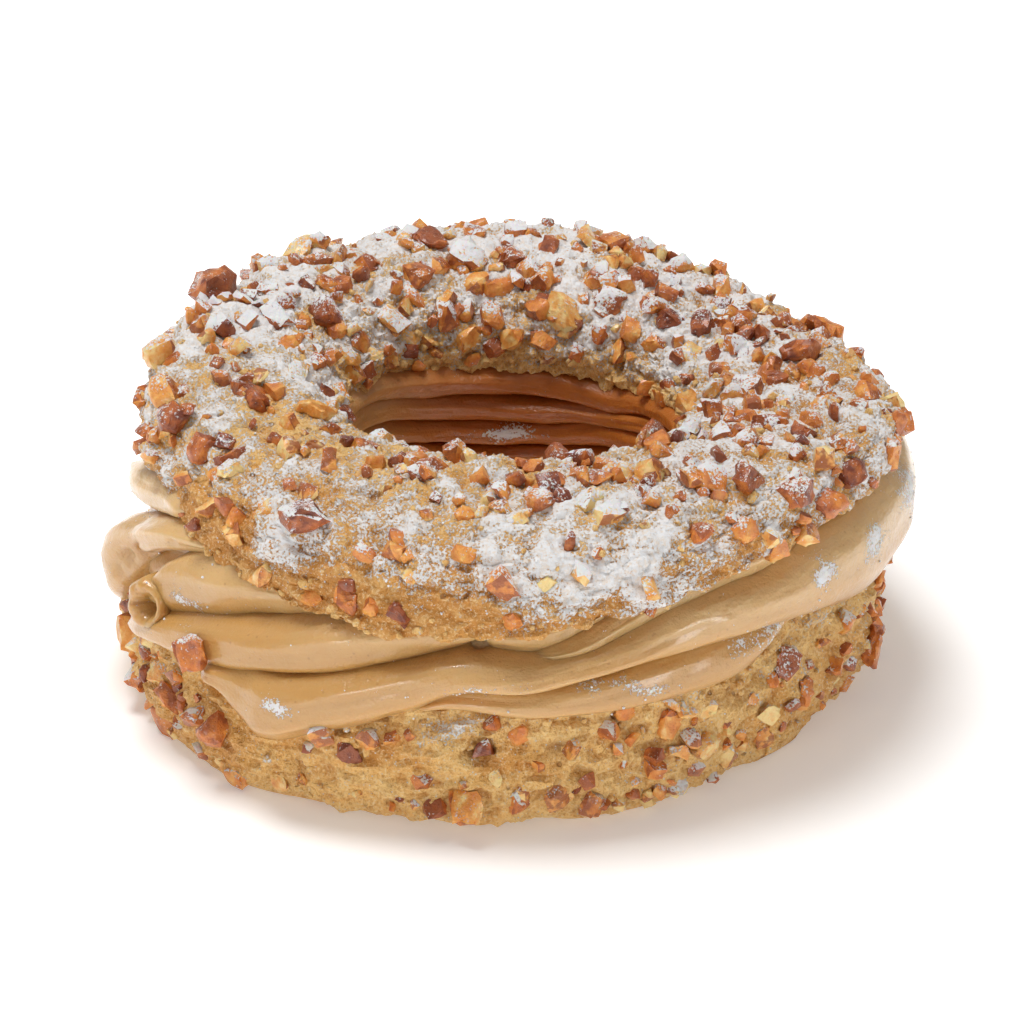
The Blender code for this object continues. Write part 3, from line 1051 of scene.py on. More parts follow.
def curl_tube(wall):
    """Rings of the curled rope's open end: a short trumpet with a thin lip."""
    direction, height, proud = CURL_PLACE
    place, _ = wall_spot(wall, direction, height)
    middle = place + out_from(direction) * proud * MM
    look = Vector(CURL_LOOK).normalized()
    side = look.cross(Vector((0, 0, 1))).normalized()
    above = side.cross(look)
    rings = []
    for behind, radius, aside in CURL_WALL:
        centre = middle - (look * behind + side * aside) * MM
        turns = np.linspace(0, math.tau, ROPE_SIDES, endpoint=False)
        rings.append([
            centre + (side * math.cos(turn) + above * CURL_HEIGHT * math.sin(turn)) * radius * MM
            for turn in turns
        ])
    return np.array(rings)


def outer_rope(wall, proud, stops):
    """Rings of one rope on the outside, which follows the solid's wall."""
    along, heights, thicknesses = smooth_route(stops)
    crests = []
    for direction, height in zip(along, heights):
        place, _ = wall_spot(wall, direction, height)
        crest = max(math.hypot(place.x, place.y) / MM, LEAST_CREST) + proud
        crests.append(crest + (CREST_LEVEL - height) * CREST_SLOPE)
    window = 2 * CREST_EASE + 1
    padded = np.pad(crests, CREST_EASE, mode="edge")
    crests = np.convolve(padded, np.full(window, 1 / window), mode="valid")
    crests = crests - patchwork(along, heights, CREAM_HOLLOWS)
    from_end = np.minimum(np.arange(len(along)), np.arange(len(along))[::-1])
    tapered = thicknesses * ROPE_FULLNESS * np.clip(from_end / END_STEPS, LEAST_TAPER, 1) ** 0.5
    return rope_tube(along, heights, tapered, crests, ROPE_DEPTH)


def hole_rope(inner_radius, number, stops):
    """Rings of one rope that goes all the way round in the hole."""
    along = np.arange(0, 360, 2 * ROPE_STEP)
    stop_directions, *tracks = np.array(stops, float).T
    heights, halves = (np.interp(along, stop_directions, track, period=360) for track in tracks)
    swell = HOLE_SWELL * np.cos(np.radians(2 * along + HOLE_SHIFT * number))
    crests = inner_radius + HOLE_BEHIND + swell
    return rope_tube(along, heights, halves, crests, HOLE_ROPE_DEPTH)[:, ::-1]


def piped_tubes():
    """Every rope of cream: its rings of points, whether it closes, and the painted crease shade on
    each point.
    """
    across, _ = rope_section()
    # Painted shade away from each rope's crest, into its creases.
    crease_shading = 1 - eased(across, *CREASE_SHADE_SPAN)
    solid = frame["nodes"]["praline_cream"].data
    wall = surface_of(solid)
    tubes = []
    for proud, stops in OUTER_ROPES.values():
        rings = outer_rope(wall, proud, stops)
        tubes.append((rings, False, np.tile(crease_shading, (len(rings), 1))))
    inner_radius = radii(points_of(solid)).min() / MM
    for number, stops in enumerate(INNER_ROPES):
        rings = hole_rope(inner_radius, number, stops)
        tubes.append((rings, True, np.tile(crease_shading[::-1], (len(rings), 1))))
    curl = curl_tube(wall)
    # Painted shade that deepens into the curl's open mouth.
    inside = eased(np.arange(len(curl)), CURL_LIP, len(curl) - 2)
    tubes.append((curl, False, np.tile(inside[:, None], (1, ROPE_SIDES))))
    return tubes


def cream_relief_tree():
    """Relief of piped cream: slow swells and fine ridges that run along each rope."""
    w, inputs = geometry_tree("cream_relief", **dict.fromkeys(CREAM_RELIEF, "Float"))
    piped = w.named("piped", "FLOAT_VECTOR")
    swells = w.times(w.swing(piped, SWELL_WIDTH, 1.0), inputs["Swells"])
    ridges = w.times(w.swing(piped, RIDGE_WIDTH, 2.0), inputs["Ridges"])
    return finished_tree(w, inputs, w.moved(inputs["Geometry"], w.sum(swells, ridges)))


def cream_core():
    """The filling's solid, narrowed so that it stays behind the ropes."""
    core, bm = merged_copy("praline_cream")
    bm.to_mesh(core)
    bm.free()
    points = points_of(core)
    radius = radii(points)
    narrowed = RING_RADIUS + (radius - RING_RADIUS) * CORE_SHARE
    points[:, :2] *= (narrowed / radius)[:, None]
    move_points(core, points)
    return core


def ropes_round_core():
    """One mesh of the core and every rope, marked with the ropes' pattern and their painted crease
    shade.
    """
    verts, faces = corners_and_faces(cream_core())
    piped = [(0.0, 0.0, 0.0)] * len(verts)
    # The core lies behind the ropes and gets full painted shade.
    tuck = [1.0] * len(verts)
    for number, (rings, closed, crease_shading) in enumerate(piped_tubes()):
        faces += tube_faces(len(rings), ROPE_SIDES, len(verts), closed)
        verts += [tuple(point) for ring in rings for point in ring]
        tuck += crease_shading.ravel().tolist()
        for place in product(range(len(rings)), range(ROPE_SIDES), (number,)):
            piped.append([count * step for count, step in zip(place, PATTERN_STEPS)])
    mesh = bpy.data.meshes.new("piped_cream")
    mesh.from_pydata(verts, [], faces)
    mark(mesh, "FLOAT_VECTOR", piped=piped)
    mark(mesh, tuck=tuck)
    return mesh


def pipe_cream(material):
    """The filling: ropes of cream round a core, marked by the piping and dusted with sugar."""
    mesh = ropes_round_core()
    direction, height, outside = on_wall(press(mesh, wall_spot, CREAM_MARKS))
    sugar = patchwork(direction, height, CREAM_SUGAR) * outside
    # Patches of painted light.
    lit_patches = patchwork(direction, height, CREAM_LIT_PATCHES)
    mark(
        mesh,
        sugar=sugar + patchwork(direction, height, HOLE_SUGAR) * ~outside,
        # More painted light higher up, and at the patches.
        pale=CREAM_LIT_TOP * eased(height, *CREAM_LIT_OVER) + lit_patches,
        # Painted shade in the hole, less at its lit places.
        deep=(HOLE_SHADE - patchwork(direction, height, HOLE_LIT)) * ~outside,
    )
    mesh.shade_smooth()
    cream = add_piece("piped_cream", mesh)
    return grow(cream, cream_relief_tree(), material, **CREAM_RELIEF)


# ---------------------------------------------------------------- chopped nuts

# Tones of nut, for the nuts' finish to turn into colours.
MAROON, BROWN, AMBER, TAN, PALE = 0.05, 0.25, 0.5, 0.75, 0.95
NUT_SEED = 31
# A nut starts as a block about 1 long: half its corners' spacing, how far they are off, its
# width and its depth for its length, and how far out its further corners are.
BLOCK_HALF = 0.35
BLOCK_SKEW = 0.10
BLOCK_WIDTH = (0.7, 0.95)
BLOCK_DEPTH = (0.5, 0.8)
CORNER_REACH = (0.45, 0.55)
# How deep bites go into it, how squarely a face looks one way to keep its skin, and how sharp
# an edge stays sharp.
NUT_BITE = 0.22
NUT_SKINNED = 0.35
NUT_EDGE = math.radians(42)
CHUNK_SHAPES = 14
CHIP_SHAPES = 12
# How a nut is cut: corners past a block's eight, cuts across each edge, roughness.
CHUNK_CUT = (4, 2, 0.018)
CHIP_CUT = (1, 1, 0.02)

# Large nuts: how far their middles stand off what they lie on, for each unit of length, and how
# much more for each millimetre over a middling size. How far they may be tilted, in degrees.
LARGE_SCALE = 1.06
LID_SEAT = (-0.14, 0.10)
BASE_SEAT = (-0.15, 0.05)
CREAM_SEAT = (0.1, 0.15)
MIDDLING_SIZE = 4.5
PROUD_PER_MM = 0.06
LAID_TILT = 35
# How much of the sugar round it a nut on the lid has, and how much one lower down has.
LID_DUST = (0.4, 1.2)
LOW_DUST = (0.2, 0.75)
LARGE_SHADES = 0.06
# Small nuts: their least and greatest size, how many there are, and how far apart.
LID_CHIPS = ((1.5, 4.2), 620, 1.5)
BASE_CHIPS = ((1.3, 3.6), 260, 1.7)
CHIP_SEAT = (-0.05, 0.2)
CHIP_SHADES = 0.1
# How many places are tried for each one that is wanted.
TRIES = 4
CHIP_TONES = (MAROON, BROWN, AMBER, TAN, PALE)
CHIP_SHARES = (0.06, 0.20, 0.46, 0.22, 0.06)

# The nuts that stand out on the lid: (direction, lean, length, tone).
LID_NUTS = (
    (156, 57, 7.0, BROWN), (162, 108, 5.0, BROWN), (149, 126, 5.2, MAROON), (202, 101, 5.2, MAROON),
    (192, 49, 5.5, TAN), (200, 46, 5.0, MAROON), (178, 52, 5.0, TAN), (183, 28, 4.6, AMBER),
    (175, 40, 3.6, AMBER), (211, 46, 4.2, BROWN), (217, 53, 4.0, BROWN), (217, 38, 3.6, AMBER),
    (220, 21, 4.6, TAN), (229, 32, 4.8, TAN), (238, 30, 7.0, MAROON), (232, -6, 4.0, TAN),
    (241, -8, 3.0, AMBER), (247, -5, 3.8, AMBER), (251, -4, 3.2, AMBER), (255, -3, 3.4, MAROON),
    (269, 14, 4.4, AMBER), (270, -3, 3.6, AMBER), (253, 93, 5.2, BROWN), (250, 108, 4.0, AMBER),
    (236, 116, 3.8, AMBER), (231, 112, 2.4, MAROON), (287, 125, 4.4, MAROON), (267, 82, 3.2, AMBER),
    (275, 65, 4.4, AMBER), (268, 61, 3.0, TAN), (263, 53, 3.2, AMBER), (283, 62, 4.8, PALE),
    (285, 47, 4.2, PALE), (293, 60, 4.4, AMBER), (297, 82, 4.8, TAN), (292, 96, 4.6, TAN),
    (303, 53, 5.2, AMBER), (308, 47, 4.8, BROWN), (320, 98, 3.8, AMBER), (303, 99, 3.8, AMBER),
    (358, 132, 4.8, AMBER), (3, 107, 3.8, AMBER), (10, 73, 5.8, BROWN), (22, 32, 7.4, 0.40),
    (27, 48, 4.6, TAN), (352, 40, 4.6, AMBER), (346, 32, 2.2, MAROON), (329, 58, 4.2, MAROON),
    (326, 27, 5.0, MAROON), (336, 23, 4.4, AMBER), (313, 33, 4.8, BROWN), (319, 22, 4.8, BROWN),
    (343, 142, 3.8, AMBER), (42, 138, 4.2, MAROON), (49, 135, 3.8, BROWN), (33, 86, 4.4, AMBER),
    (34, 125, 4.4, MAROON), (21, 118, 4.4, AMBER), (15, 110, 3.8, AMBER), (102, 115, 6.0, TAN),
    (108, 92, 5.2, BROWN), (97, 79, 4.8, AMBER), (89, 117, 4.2, BROWN), (86, 85, 3.8, AMBER),
    (119, 138, 4.8, AMBER), (132, 148, 4.8, TAN), (72, 150, 6.2, TAN), (75, 60, 4.8, TAN),
    (63, 58, 4.4, AMBER), (132, 62, 4.8, TAN), (140, 57, 4.4, AMBER), (55, 60, 4.4, AMBER),
    (68, 85, 4.8, AMBER), (94, 139, 4.4, AMBER), (185, 133, 4.2, TAN), (213, 127, 5.0, TAN),
    (140, 111, 4.4, AMBER), (304, 24, 4.2, AMBER), (315, 14, 4.4, TAN), (309, 12, 3.8, AMBER),
    (172, 70, 4.0, TAN), (318, 75, 4.2, AMBER), (330, 88, 4.4, BROWN), (340, 70, 4.2, BROWN),
    (335, 110, 4.0, AMBER), (348, 120, 4.2, AMBER), (350, 95, 3.8, TAN), (312, 120, 3.8, TAN),
    (55, 110, 4.6, BROWN), (80, 135, 4.2, AMBER), (150, 85, 3.8, AMBER), (170, 125, 4.0, AMBER),
    (125, 100, 4.2, AMBER), (60, 140, 4.6, AMBER), (68, 158, 3.8, TAN), (80, 152, 4.4, AMBER),
    (88, 165, 4.0, TAN), (96, 154, 4.2, AMBER), (104, 166, 4.4, TAN), (112, 152, 4.6, AMBER),
    (118, 168, 3.6, TAN), (126, 158, 4.4, TAN), (136, 166, 4.2, PALE), (146, 152, 4.0, AMBER),
    (154, 162, 3.8, TAN), (40, 158, 4.0, AMBER), (28, 150, 4.2, TAN), (15, 146, 4.0, AMBER),
    (2, 152, 4.0, TAN), (50, 166, 3.6, TAN), (100, 135, 5.0, TAN), (84, 128, 4.4, AMBER),
    (66, 126, 4.2, AMBER), (116, 126, 4.6, AMBER), (62, 190, 5.0, PALE), (76, 178, 3.0, PALE),
)
# The nuts that stand out on the lower crust: (direction, height, length, tone).
BASE_NUTS = (
    (193, 9.0, 6.2, TAN), (198.7, 4.2, 5.2, 0.4), (208.7, 10.0, 4.0, TAN), (213.4, 7.5, 5.4, 0.45),
    (219.7, 7.3, 3.8, AMBER), (225, 8.5, 4.8, 0.3), (208, 1.8, 5.4, 0.45), (223, 1.6, 3.8, TAN),
    (227, 1.4, 3.4, AMBER), (235, 3.2, 3.4, TAN), (247.2, 10.1, 4.0, MAROON), (264, 4.4, 5.6, TAN),
    (277, 4.6, 4.2, TAN), (271, 4.4, 3.6, AMBER), (268, 8.3, 2.6, PALE), (271, 13.6, 3.6, AMBER),
    (282, 3.0, 3.8, TAN), (295, 11.8, 4.8, AMBER), (301, 8.0, 4.6, TAN), (301, 11.6, 4.2, TAN),
    (298, 13.8, 3.4, TAN), (296, 3.0, 3.8, PALE), (318, 14.0, 5.4, BROWN), (322, 9.2, 3.8, AMBER),
    (314, 5.0, 4.2, TAN), (307, 4.0, 4.2, TAN), (344, 7.5, 5.6, BROWN), (352, 13.4, 5.0, AMBER),
    (10, 9.0, 4.6, TAN), (28, 5.5, 4.2, AMBER), (45, 10.5, 4.8, BROWN), (70, 6.0, 4.2, TAN),
    (92, 10.0, 4.6, AMBER), (118, 5.0, 4.2, TAN), (140, 9.5, 4.8, BROWN), (160, 6.0, 4.2, AMBER),
    (172, 10.5, 4.4, TAN),
)
CREAM_NUTS = ((223.3, 18.8, 5.4, 0.32), (244, 13.6, 4.0, TAN))

# Where small nuts are crowded: (direction, lean or height, half-widths, amount). Elsewhere
# they are as crowded as the level says, between these leans or heights.
LID_CROWD_LEVEL, BASE_CROWD_LEVEL, LEAST_CROWD = 0.35, 0.15, 0.05
LID_NUTTED = (-10, 12, 172, 190)
BASE_NUTTED = (0.8, 2.5, 14, 16)
LID_CROWD = (
    (20, 90, 75, 60, 1.0), (110, 110, 60, 50, 0.9), (180, 100, 35, 45, 0.7),
    (300, 95, 45, 45, 1.0), (215, 35, 16, 25, 0.5), (268, 75, 20, 25, 0.6),
    (243, 70, 16, 35, -0.5), (280, 15, 20, 18, -0.3),
)
BASE_CROWD = (
    (205, 6, 22, 7, 1.0), (300, 6, 28, 8, 1.0), (345, 8, 25, 8, 0.7), (265, 3, 30, 4, 0.5),
    (60, 7, 45, 8, 0.8), (130, 7, 45, 8, 0.8),
)


def chopped_block(rng, corners):
    """One piece of nut, about 1 long: a skewed block with more corners, skin left on one side."""
    bm = bmesh.new()
    squash = Vector((1.0, rng.uniform(*BLOCK_WIDTH), rng.uniform(*BLOCK_DEPTH)))
    for corner in product((-BLOCK_HALF, BLOCK_HALF), repeat=3):
        skew = Vector(rng.normal(size=3)) * BLOCK_SKEW
        bm.verts.new((Vector(corner) + skew) * squash)
    for _ in range(corners):
        way = Vector(rng.normal(size=3)).normalized() * rng.uniform(*CORNER_REACH)
        bm.verts.new(way * squash)
    hull = bmesh.ops.convex_hull(bm, input=bm.verts)
    spare = {item for item in hull["geom_interior"] if isinstance(item, bmesh.types.BMVert)}
    bmesh.ops.delete(bm, geom=list(spare), context="VERTS")
    skin = bm.faces.layers.float.new("skin")
    bm.normal_update()
    outer = Vector(rng.normal(size=3)).normalized()
    for face in bm.faces:
        face[skin] = float(face.normal.dot(outer) > NUT_SKINNED)
    return bm


def smooth_mesh(bm, name):
    """Keeps an edited shape as a mesh with smooth shading."""
    mesh = bpy.data.meshes.new(name)
    bm.to_mesh(mesh)
    bm.free()
    mesh.shade_smooth()
    return mesh


def nut_shape(name, rng, corners, cuts, roughness):
    """Keeps one block as a mesh, with its edges rounded off over this many cuts."""
    bm = chopped_block(rng, corners)
    bmesh.ops.subdivide_edges(bm, edges=bm.edges[:], cuts=cuts, use_grid_fill=True)
    bmesh.ops.triangulate(bm, faces=bm.faces[:])
    bmesh.ops.smooth_vert(
        bm, verts=bm.verts, factor=0.5, use_axis_x=True, use_axis_y=True, use_axis_z=True
    )
    for vert in bm.verts:
        vert.co *= 1 - NUT_BITE * rng.random() ** 3
        vert.co += Vector(rng.normal(size=3)) * roughness
    longest = max((a.co - b.co).length for a in bm.verts for b in bm.verts)
    bmesh.ops.scale(bm, vec=Vector((1, 1, 1)) / longest, verts=bm.verts)
    bmesh.ops.recalc_face_normals(bm, faces=bm.faces)
    mesh = smooth_mesh(bm, name)
    mesh.set_sharp_from_angle(angle=NUT_EDGE)
    return mesh


def shape_tray(name, count, make, *values):
    """A collection of shapes for a tree to pick from, each made with these values."""
    tray = bpy.data.collections.new(name)
    for number in range(count):
        label = f"{name}_{number:02d}"
        tray.objects.link(bpy.data.objects.new(label, make(label, *values)))
    bpy.context.scene.collection.children.link(tray)
    return tray


def clear_tray(tray):
    for shape in list(tray.objects):
        bpy.data.objects.remove(shape)
    bpy.data.collections.remove(tray)


def scatter_tree():
    """Puts a shape from the tray on every point, turned and sized as the point says."""
    w, inputs = geometry_tree("scatter_shapes", Tray="Collection")
    shapes = w.out("GeometryNodeCollectionInfo", inputs["Tray"], True, True)
    turn = w.out("FunctionNodeEulerToRotation", w.named("turn", "FLOAT_VECTOR"))
    placed = w.out(
        "GeometryNodeInstanceOnPoints", inputs["Geometry"], None, shapes, True,
        w.named("shape", "INT"), turn, w.named("length"),
    )
    return finished_tree(w, inputs, placed)


def scatter(name, spots, tray, tree, material):
    """One piece made of a shape at every spot: (place, turn, length, shape, tone, sugar)."""
    places, turns, lengths, shapes, tones, sugars = zip(*spots)
    mesh = bpy.data.meshes.new(name)
    mesh.from_pydata([tuple(place) for place in places], [], [])
    mark(mesh, "FLOAT_VECTOR", turn=turns)
    mark(mesh, length=lengths)
    mark(mesh, "INT", shape=shapes)
    mark(mesh, tone=tones, sugar=sugars)
    return rest_on_tray(grow(add_piece(name, mesh), tree, material, Tray=tray))


def random_turn(rng):
    return tuple(Quaternion(rng.normal(size=4)).normalized().to_euler())


def laid_turn(rng, facing):
    """A turn that lays a nut about flat on a surface that faces this way."""
    axis = Vector(rng.normal(size=3)).normalized()
    lean = Quaternion(axis, math.radians(rng.uniform(0, LAID_TILT)))
    spin = Quaternion((0, 0, 1), rng.uniform(0, math.tau))
    return tuple((lean @ facing.to_track_quat("Z", "Y") @ spin).to_euler())


def strewn(piece, count, crowding, spacing, rng, taken=()):
    """Random places on a piece, more where crowding is high, and this many millimetres apart."""
    mesh = piece.data
    mesh.calc_loop_triangles()
    corners = np.empty(len(mesh.loop_triangles) * 3, np.int32)
    mesh.loop_triangles.foreach_get("vertices", corners)
    triangles = points_of(mesh)[corners.reshape(-1, 3)]
    cross = np.cross(triangles[:, 1] - triangles[:, 0], triangles[:, 2] - triangles[:, 0])
    area = np.linalg.norm(cross, axis=1)
    weight = area * np.clip(crowding(triangles.mean(axis=1)), 0, None)
    chosen = rng.choice(len(area), size=count * TRIES, p=weight / weight.sum())
    share = rng.dirichlet((1, 1, 1), size=len(chosen))
    places = (triangles[chosen] * share[:, :, None]).sum(axis=1)
    facings = cross[chosen] / area[chosen][:, None]
    kept = [np.array(spot[0]) for spot in taken]
    found = []
    for place, facing in zip(places, facings):
        if kept and np.linalg.norm(np.array(kept) - place, axis=1).min() < spacing * MM:
            continue
        kept.append(place)
        found.append((Vector(place), Vector(facing)))
        if len(found) == count:
            break
    return found


def lid_crowding(points):
    lean = leans(points)
    amount = LID_CROWD_LEVEL + patchwork(directions(points), lean, LID_CROWD)
    return amount.clip(LEAST_CROWD) * plateau(lean, *LID_NUTTED)


def base_crowding(points):
    direction, height, outside = on_wall(points, WALL_MARGIN)
    amount = BASE_CROWD_LEVEL + patchwork(direction, height, BASE_CROWD)
    return amount.clip(LEAST_CROWD) * outside * plateau(height, *BASE_NUTTED)


def large_spots(nuts, piece, spot_of, rng, proud, sugar_of):
    """Spots on a piece for the nuts that are listed one by one."""
    surface = surface_of(piece.data)
    spots = []
    for direction, level, size, tone in nuts:
        length = LARGE_SCALE * size
        place, facing = spot_of(surface, direction, level)
        above = rng.uniform(*proud) + PROUD_PER_MM * (size - MIDDLING_SIZE)
        seat = place + facing * length * MM * above
        tone = tone + rng.uniform(-LARGE_SHADES, LARGE_SHADES)
        shape = int(rng.integers(CHUNK_SHAPES))
        turn = laid_turn(rng, facing)
        spots.append((seat, turn, length * MM, shape, tone, sugar_of(place)))
    return spots


def small_spots(places, sizes, rng, sugar_of):
    """Spots for small nuts: most are amber or tan, a few maroon."""
    spots = []
    for place, facing in places:
        length = rng.uniform(*sizes) * MM
        tone = rng.choice(CHIP_TONES, p=CHIP_SHARES) + rng.uniform(-CHIP_SHADES, CHIP_SHADES)
        seat = place + facing * length * rng.uniform(*CHIP_SEAT)
        turn = random_turn(rng)
        shape = int(rng.integers(CHIP_SHAPES))
        spots.append((seat, turn, length, shape, tone, sugar_of(place)))
    return spots


def chop_nuts(lid, base, cream, material):
    """Every chopped nut: large and small ones on the lid, and large and small ones below it."""
    rng = np.random.default_rng(NUT_SEED)
    chunks = shape_tray("chunk", CHUNK_SHAPES, nut_shape, rng, *CHUNK_CUT)
    chips = shape_tray("chip", CHIP_SHAPES, nut_shape, rng, *CHIP_CUT)

    def lid_dust(place):
        return float(lid_sugar(np.array([place]))[0]) * rng.uniform(*LID_DUST)

    def low_dust(_):
        return rng.uniform(*LOW_DUST)

    lid_large = large_spots(LID_NUTS, lid, lid_spot, rng, LID_SEAT, lid_dust)
    low_large = large_spots(BASE_NUTS, base, wall_spot, rng, BASE_SEAT, low_dust)
    low_large += large_spots(CREAM_NUTS, cream, wall_spot, rng, CREAM_SEAT, low_dust)
    lid_sizes, lid_count, lid_spacing = LID_CHIPS
    low_sizes, low_count, low_spacing = BASE_CHIPS
    lid_places = strewn(lid, lid_count, lid_crowding, lid_spacing, rng, lid_large)
    low_places = strewn(base, low_count, base_crowding, low_spacing, rng, low_large)
    lid_small = small_spots(lid_places, lid_sizes, rng, lid_dust)
    low_small = small_spots(low_places, low_sizes, rng, low_dust)
    tree = scatter_tree()
    pieces = [
        scatter("lid_nuts_large", lid_large, chunks, tree, material),
        scatter("base_nuts_large", low_large, chunks, tree, material),
        scatter("lid_nuts_small", lid_small, chips, tree, material),
        scatter("base_nuts_small", low_small, chips, tree, material),
    ]
    clear_tray(chunks)
    clear_tray(chips)
    return pieces, tree


# ---------------------------------------------------------------- crumbs of crust

CRUMB_SEED = 5
CRUMB_SHAPES = 8
CRUMB_SPACING = 0.9
CRUMB_SEAT = 0.05
CRUMB_SUGAR = 0.35
# A crumb's width and thickness for its length, and how far out its corners are.
CRUMB_ACROSS = (0.6, 1.0)
CRUMB_THICK = (0.4, 0.8)
CRUMB_REACH = (0.65, 1.1)
# How many crumbs there are, and their least and greatest size.
LID_CRUMBS = (520, (0.7, 2.2))
BASE_CRUMBS = (260, (0.6, 2.0))
# The leans round the lid's rims, and over which they start on its top, where they are fewer.
OUTER_RIM_CRUMBS = (-34, -20, -8, 6)
INNER_RIM_CRUMBS = (150, 175, 196, 208)
TOP_CRUMBS = (0, 20)
INNER_SHARE, TOP_SHARE = 0.6, 0.12
# The heights over which they start on the lower crust's wall, fewer at first, and then get more.
CRUMBS_FROM = (1, 3)
CRUMBS_RISE = (12, 16)
LOW_SHARE = 0.4


def ball_shape(name, rng, squash, reach):
    """A rough ball about 1 across, squashed along each axis by this much."""
    bm = bmesh.new()
    bmesh.ops.create_icosphere(bm, subdivisions=1, radius=0.5)
    for vert in bm.verts:
        vert.co = vert.co * squash * rng.uniform(*reach)
    return smooth_mesh(bm, name)


def crumb_shape(name, rng):
    squash = Vector((1.0, rng.uniform(*CRUMB_ACROSS), rng.uniform(*CRUMB_THICK)))
    return ball_shape(name, rng, squash, CRUMB_REACH)


def lid_crumbling(points):
    lean = leans(points)
    outer_rim = plateau(lean, *OUTER_RIM_CRUMBS)
    inner_rim = plateau(lean, *INNER_RIM_CRUMBS)
    top = TOP_SHARE * eased(lean, *TOP_CRUMBS) * (1 - inner_rim)
    return outer_rim + INNER_SHARE * inner_rim + top


def base_crumbling(points):
    _, height, outside = on_wall(points, WALL_MARGIN)
    return outside * eased(height, *CRUMBS_FROM) * (LOW_SHARE + eased(height, *CRUMBS_RISE))


def strew_crumbs(lid, base, tree, material):
    """Flakes and crumbs of crust: along the lid's rims and on the lower crust's wall."""
    rng = np.random.default_rng(CRUMB_SEED)
    tray = shape_tray("crumb", CRUMB_SHAPES, crumb_shape, rng)
    spots = []
    for piece, crowding, (count, sizes) in (
        (lid, lid_crumbling, LID_CRUMBS), (base, base_crumbling, BASE_CRUMBS),
    ):
        for place, facing in strewn(piece, count, crowding, CRUMB_SPACING, rng):
            size = rng.uniform(*sizes) * MM
            sugar = rng.uniform(0, CRUMB_SUGAR)
            shape = int(rng.integers(CRUMB_SHAPES))
            seat = place + facing * size * CRUMB_SEAT
            spots.append((seat, random_turn(rng), size, shape, 0, sugar))
    crumbs = scatter("crust_crumbs", spots, tray, tree, material)
    mark(crumbs.data, open=np.ones(len(crumbs.data.vertices)))
    clear_tray(tray)
    return crumbs


# ---------------------------------------------------------------- icing sugar

SUGAR_SEED = 12
GRAIN_SHAPES = 4
GRAIN_SPACING = 0.12
# How far out a grain's corners are, and how far it stands off, for each unit of its size. Then
# the size of the finest grain, and how much coarser the coarsest is.
GRAIN_REACH = (0.7, 1.15)
GRAIN_SEAT = 0.2
FINE_GRAIN = 0.12
COARSER_BY = 0.3
LID_GRAINS = 3600
BASE_GRAINS = 700
CREAM_GRAINS = 1400
# The leans between which grains lie on the lid, and the heights between which they lie on the
# cream, and over which they start on the lower crust. How thickly they lie at the least.
LID_DUSTED = (-20, 10, 155, 190)
CREAM_DUSTED = (10, 14, 28, 34)
BASE_DUSTED = (6, 14)
LEAST_LID_DUST, LEAST_BASE_DUST, LEAST_CREAM_DUST = 0.05, 0.12, 0.06
# The grains on the cream are this much further out than the ring's middle.
CREAM_MARGIN = 5


def grain_shape(name, rng):
    return ball_shape(name, rng, Vector((1, 1, 1)), GRAIN_REACH)


def lid_dusting(points):
    lean = leans(points)
    amount = LID_SUGAR_LEVEL + patchwork(directions(points), lean, LID_SUGAR)
    return amount.clip(LEAST_LID_DUST, 1) * plateau(lean, *LID_DUSTED)


def base_dusting(points):
    direction, height, outside = on_wall(points)
    fine = LEAST_BASE_DUST * eased(height, *BASE_DUSTED)
    return (fine + patchwork(direction, height, BASE_SUGAR)) * outside


def cream_dusting(points):
    direction, height, outside = on_wall(points, CREAM_MARGIN)
    amount = LEAST_CREAM_DUST + patchwork(direction, height, CREAM_SUGAR)
    return amount * outside * plateau(height, *CREAM_DUSTED)


def dust_sugar(lid, base, cream, tree, material):
    """Loose grains and small clumps of icing sugar that stand off what they lie on."""
    rng = np.random.default_rng(SUGAR_SEED)
    tray = shape_tray("grain", GRAIN_SHAPES, grain_shape, rng)
    spots = []
    for piece, count, crowding in (
        (lid, LID_GRAINS, lid_dusting),
        (base, BASE_GRAINS, base_dusting),
        (cream, CREAM_GRAINS, cream_dusting),
    ):
        for place, facing in strewn(piece, count, crowding, GRAIN_SPACING, rng):
            size = (FINE_GRAIN + COARSER_BY * rng.random() ** 3) * MM
            shape = int(rng.integers(GRAIN_SHAPES))
            seat = place + facing * size * GRAIN_SEAT
            spots.append((seat, random_turn(rng), size, shape, 1.0, 1.0))
    grains = scatter("icing_sugar_grains", spots, tray, tree, material)
    clear_tray(tray)
    return grains


# ---------------------------------------------------------------- studio

# Distances are in metres and the sensor's width is in millimetres.
VIEW_HEIGHT = math.radians(26.5)
VIEW_DISTANCE = 0.5
VIEW_WIDTH = 0.1305
SENSOR_WIDTH = 36.0
AIM_DROP = 1.9 * MM
LENS_START = 10 * MM
FLOOR_REACH = 3.0
ROOM_COLOUR = (1.0, 0.985, 0.965, 1)
ROOM_LIGHT = 0.30
# (name, place, width and power) of each lamp, in metres and watts.
SOFTBOXES = (
    ("overhead", (-0.12, 0.02, 0.70), 0.32, 3.7),
    ("front_left", (-0.50, -0.70, 0.13), 0.22, 0.92),
    ("front_right", (0.60, -0.60, 0.13), 0.22, 0.95),
)


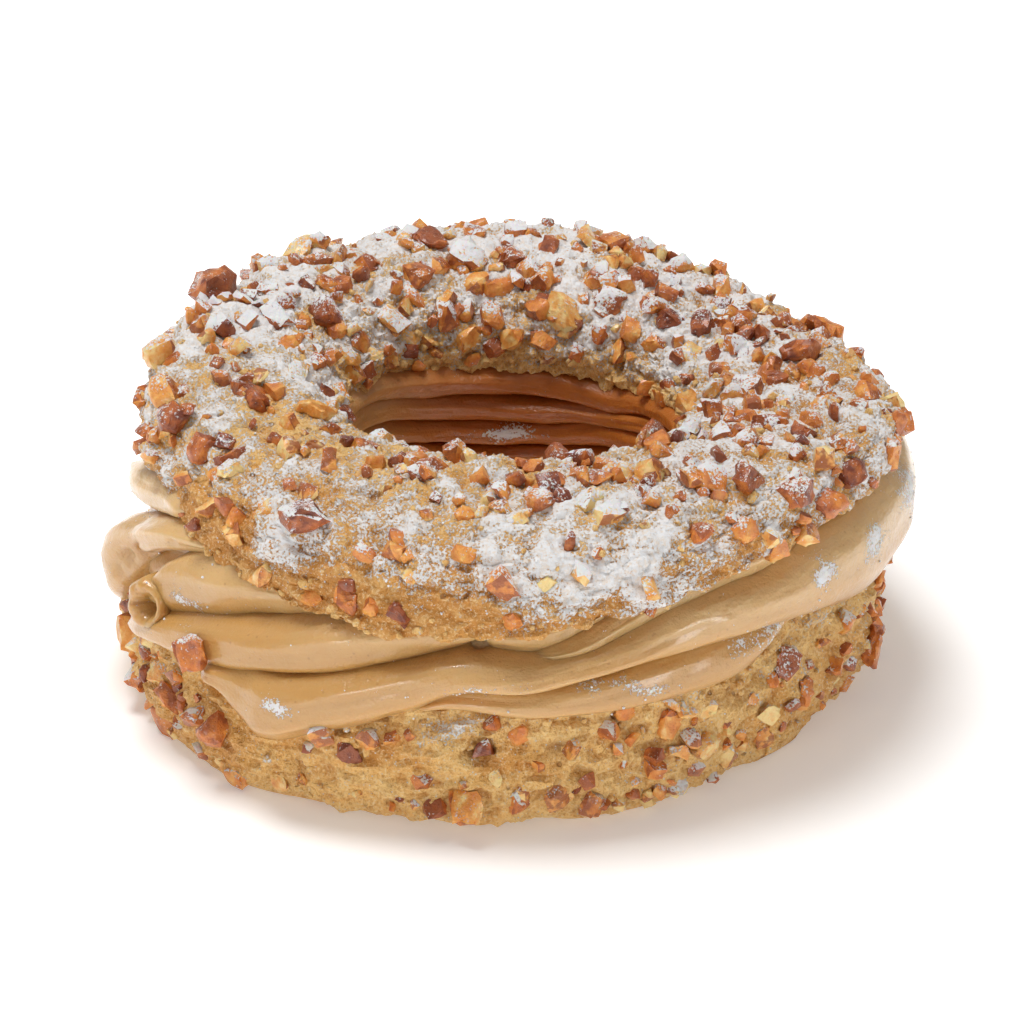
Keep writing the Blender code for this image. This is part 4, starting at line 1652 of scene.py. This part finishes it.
def set_camera():
    """Looks down on the front of the pastry."""
    low, high = Vector(cad_box[0]), Vector(cad_box[1])
    aim = Vector(((low.x + high.x) / 2, 0, (low.z + high.z) / 2 - AIM_DROP))
    back = Vector((0, -math.cos(VIEW_HEIGHT), math.sin(VIEW_HEIGHT)))
    lens = bpy.data.cameras.new("camera")
    lens.sensor_width = SENSOR_WIDTH
    lens.lens = SENSOR_WIDTH * VIEW_DISTANCE / VIEW_WIDTH
    lens.clip_start = LENS_START
    camera = bpy.data.objects.new("camera", lens)
    camera.location = aim + back * VIEW_DISTANCE
    camera.rotation_euler = (-back).to_track_quat("-Z", "Y").to_euler()
    bpy.context.scene.collection.objects.link(camera)
    bpy.context.scene.camera = camera


def add_softbox(name, place, width, power):
    """A round lamp that points at the pastry."""
    light = bpy.data.lights.new(name, "AREA")
    light.shape = "DISK"
    light.size = width
    light.energy = power
    lamp = bpy.data.objects.new(name, light)
    lamp.location = place
    lamp.rotation_euler = (-Vector(place)).to_track_quat("-Z", "Y").to_euler()
    bpy.context.scene.collection.objects.link(lamp)


def set_studio(material):
    """A white table in a pale room, a large softbox overhead and weaker ones round it."""
    near, far = -FLOOR_REACH, FLOOR_REACH
    corners = [(near, near, 0), (far, near, 0), (far, far, 0), (near, far, 0)]
    floor_mesh = bpy.data.meshes.new("studio_floor")
    floor_mesh.from_pydata(corners, [], [(0, 1, 2, 3)])
    floor_mesh.materials.append(material)
    add_piece("studio_floor", floor_mesh)
    world = bpy.data.worlds.new("pale_room")
    world.use_nodes = True
    sky = world.node_tree.nodes["Background"]
    sky.inputs["Color"].default_value = ROOM_COLOUR
    sky.inputs["Strength"].default_value = ROOM_LIGHT
    bpy.context.scene.world = world
    for softbox in SOFTBOXES:
        add_softbox(*softbox)
    bpy.context.scene.view_settings.view_transform = "Standard"


# ---------------------------------------------------------------- the whole pastry


def dress(piece, slot, *nodes):
    """Fixes a piece to the pastry and hides the solids that it stands for."""
    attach(piece, "root")
    for node in nodes:
        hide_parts(node)


def main():
    set_camera()
    set_studio(floor_material())
    relief = crust_relief_tree()
    choux = crust_material()
    lid = bake_lid(relief, choux)
    base = bake_base(relief, choux)
    cream = pipe_cream(cream_material())
    nuts, tree = chop_nuts(lid, base, cream, nut_material())
    crumbs = strew_crumbs(lid, base, tree, choux)
    grains = dust_sugar(lid, base, cream, tree, sugar_material())
    dress(lid, "baked_choux", "top_crust")
    dress(base, "baked_choux", "bottom_crust")
    dress(cream, "praline_cream", "praline_cream")
    for nut in nuts:
        dress(nut, "chopped_nuts")
    dress(crumbs, "baked_choux")
    dress(grains, "icing_sugar")


main()
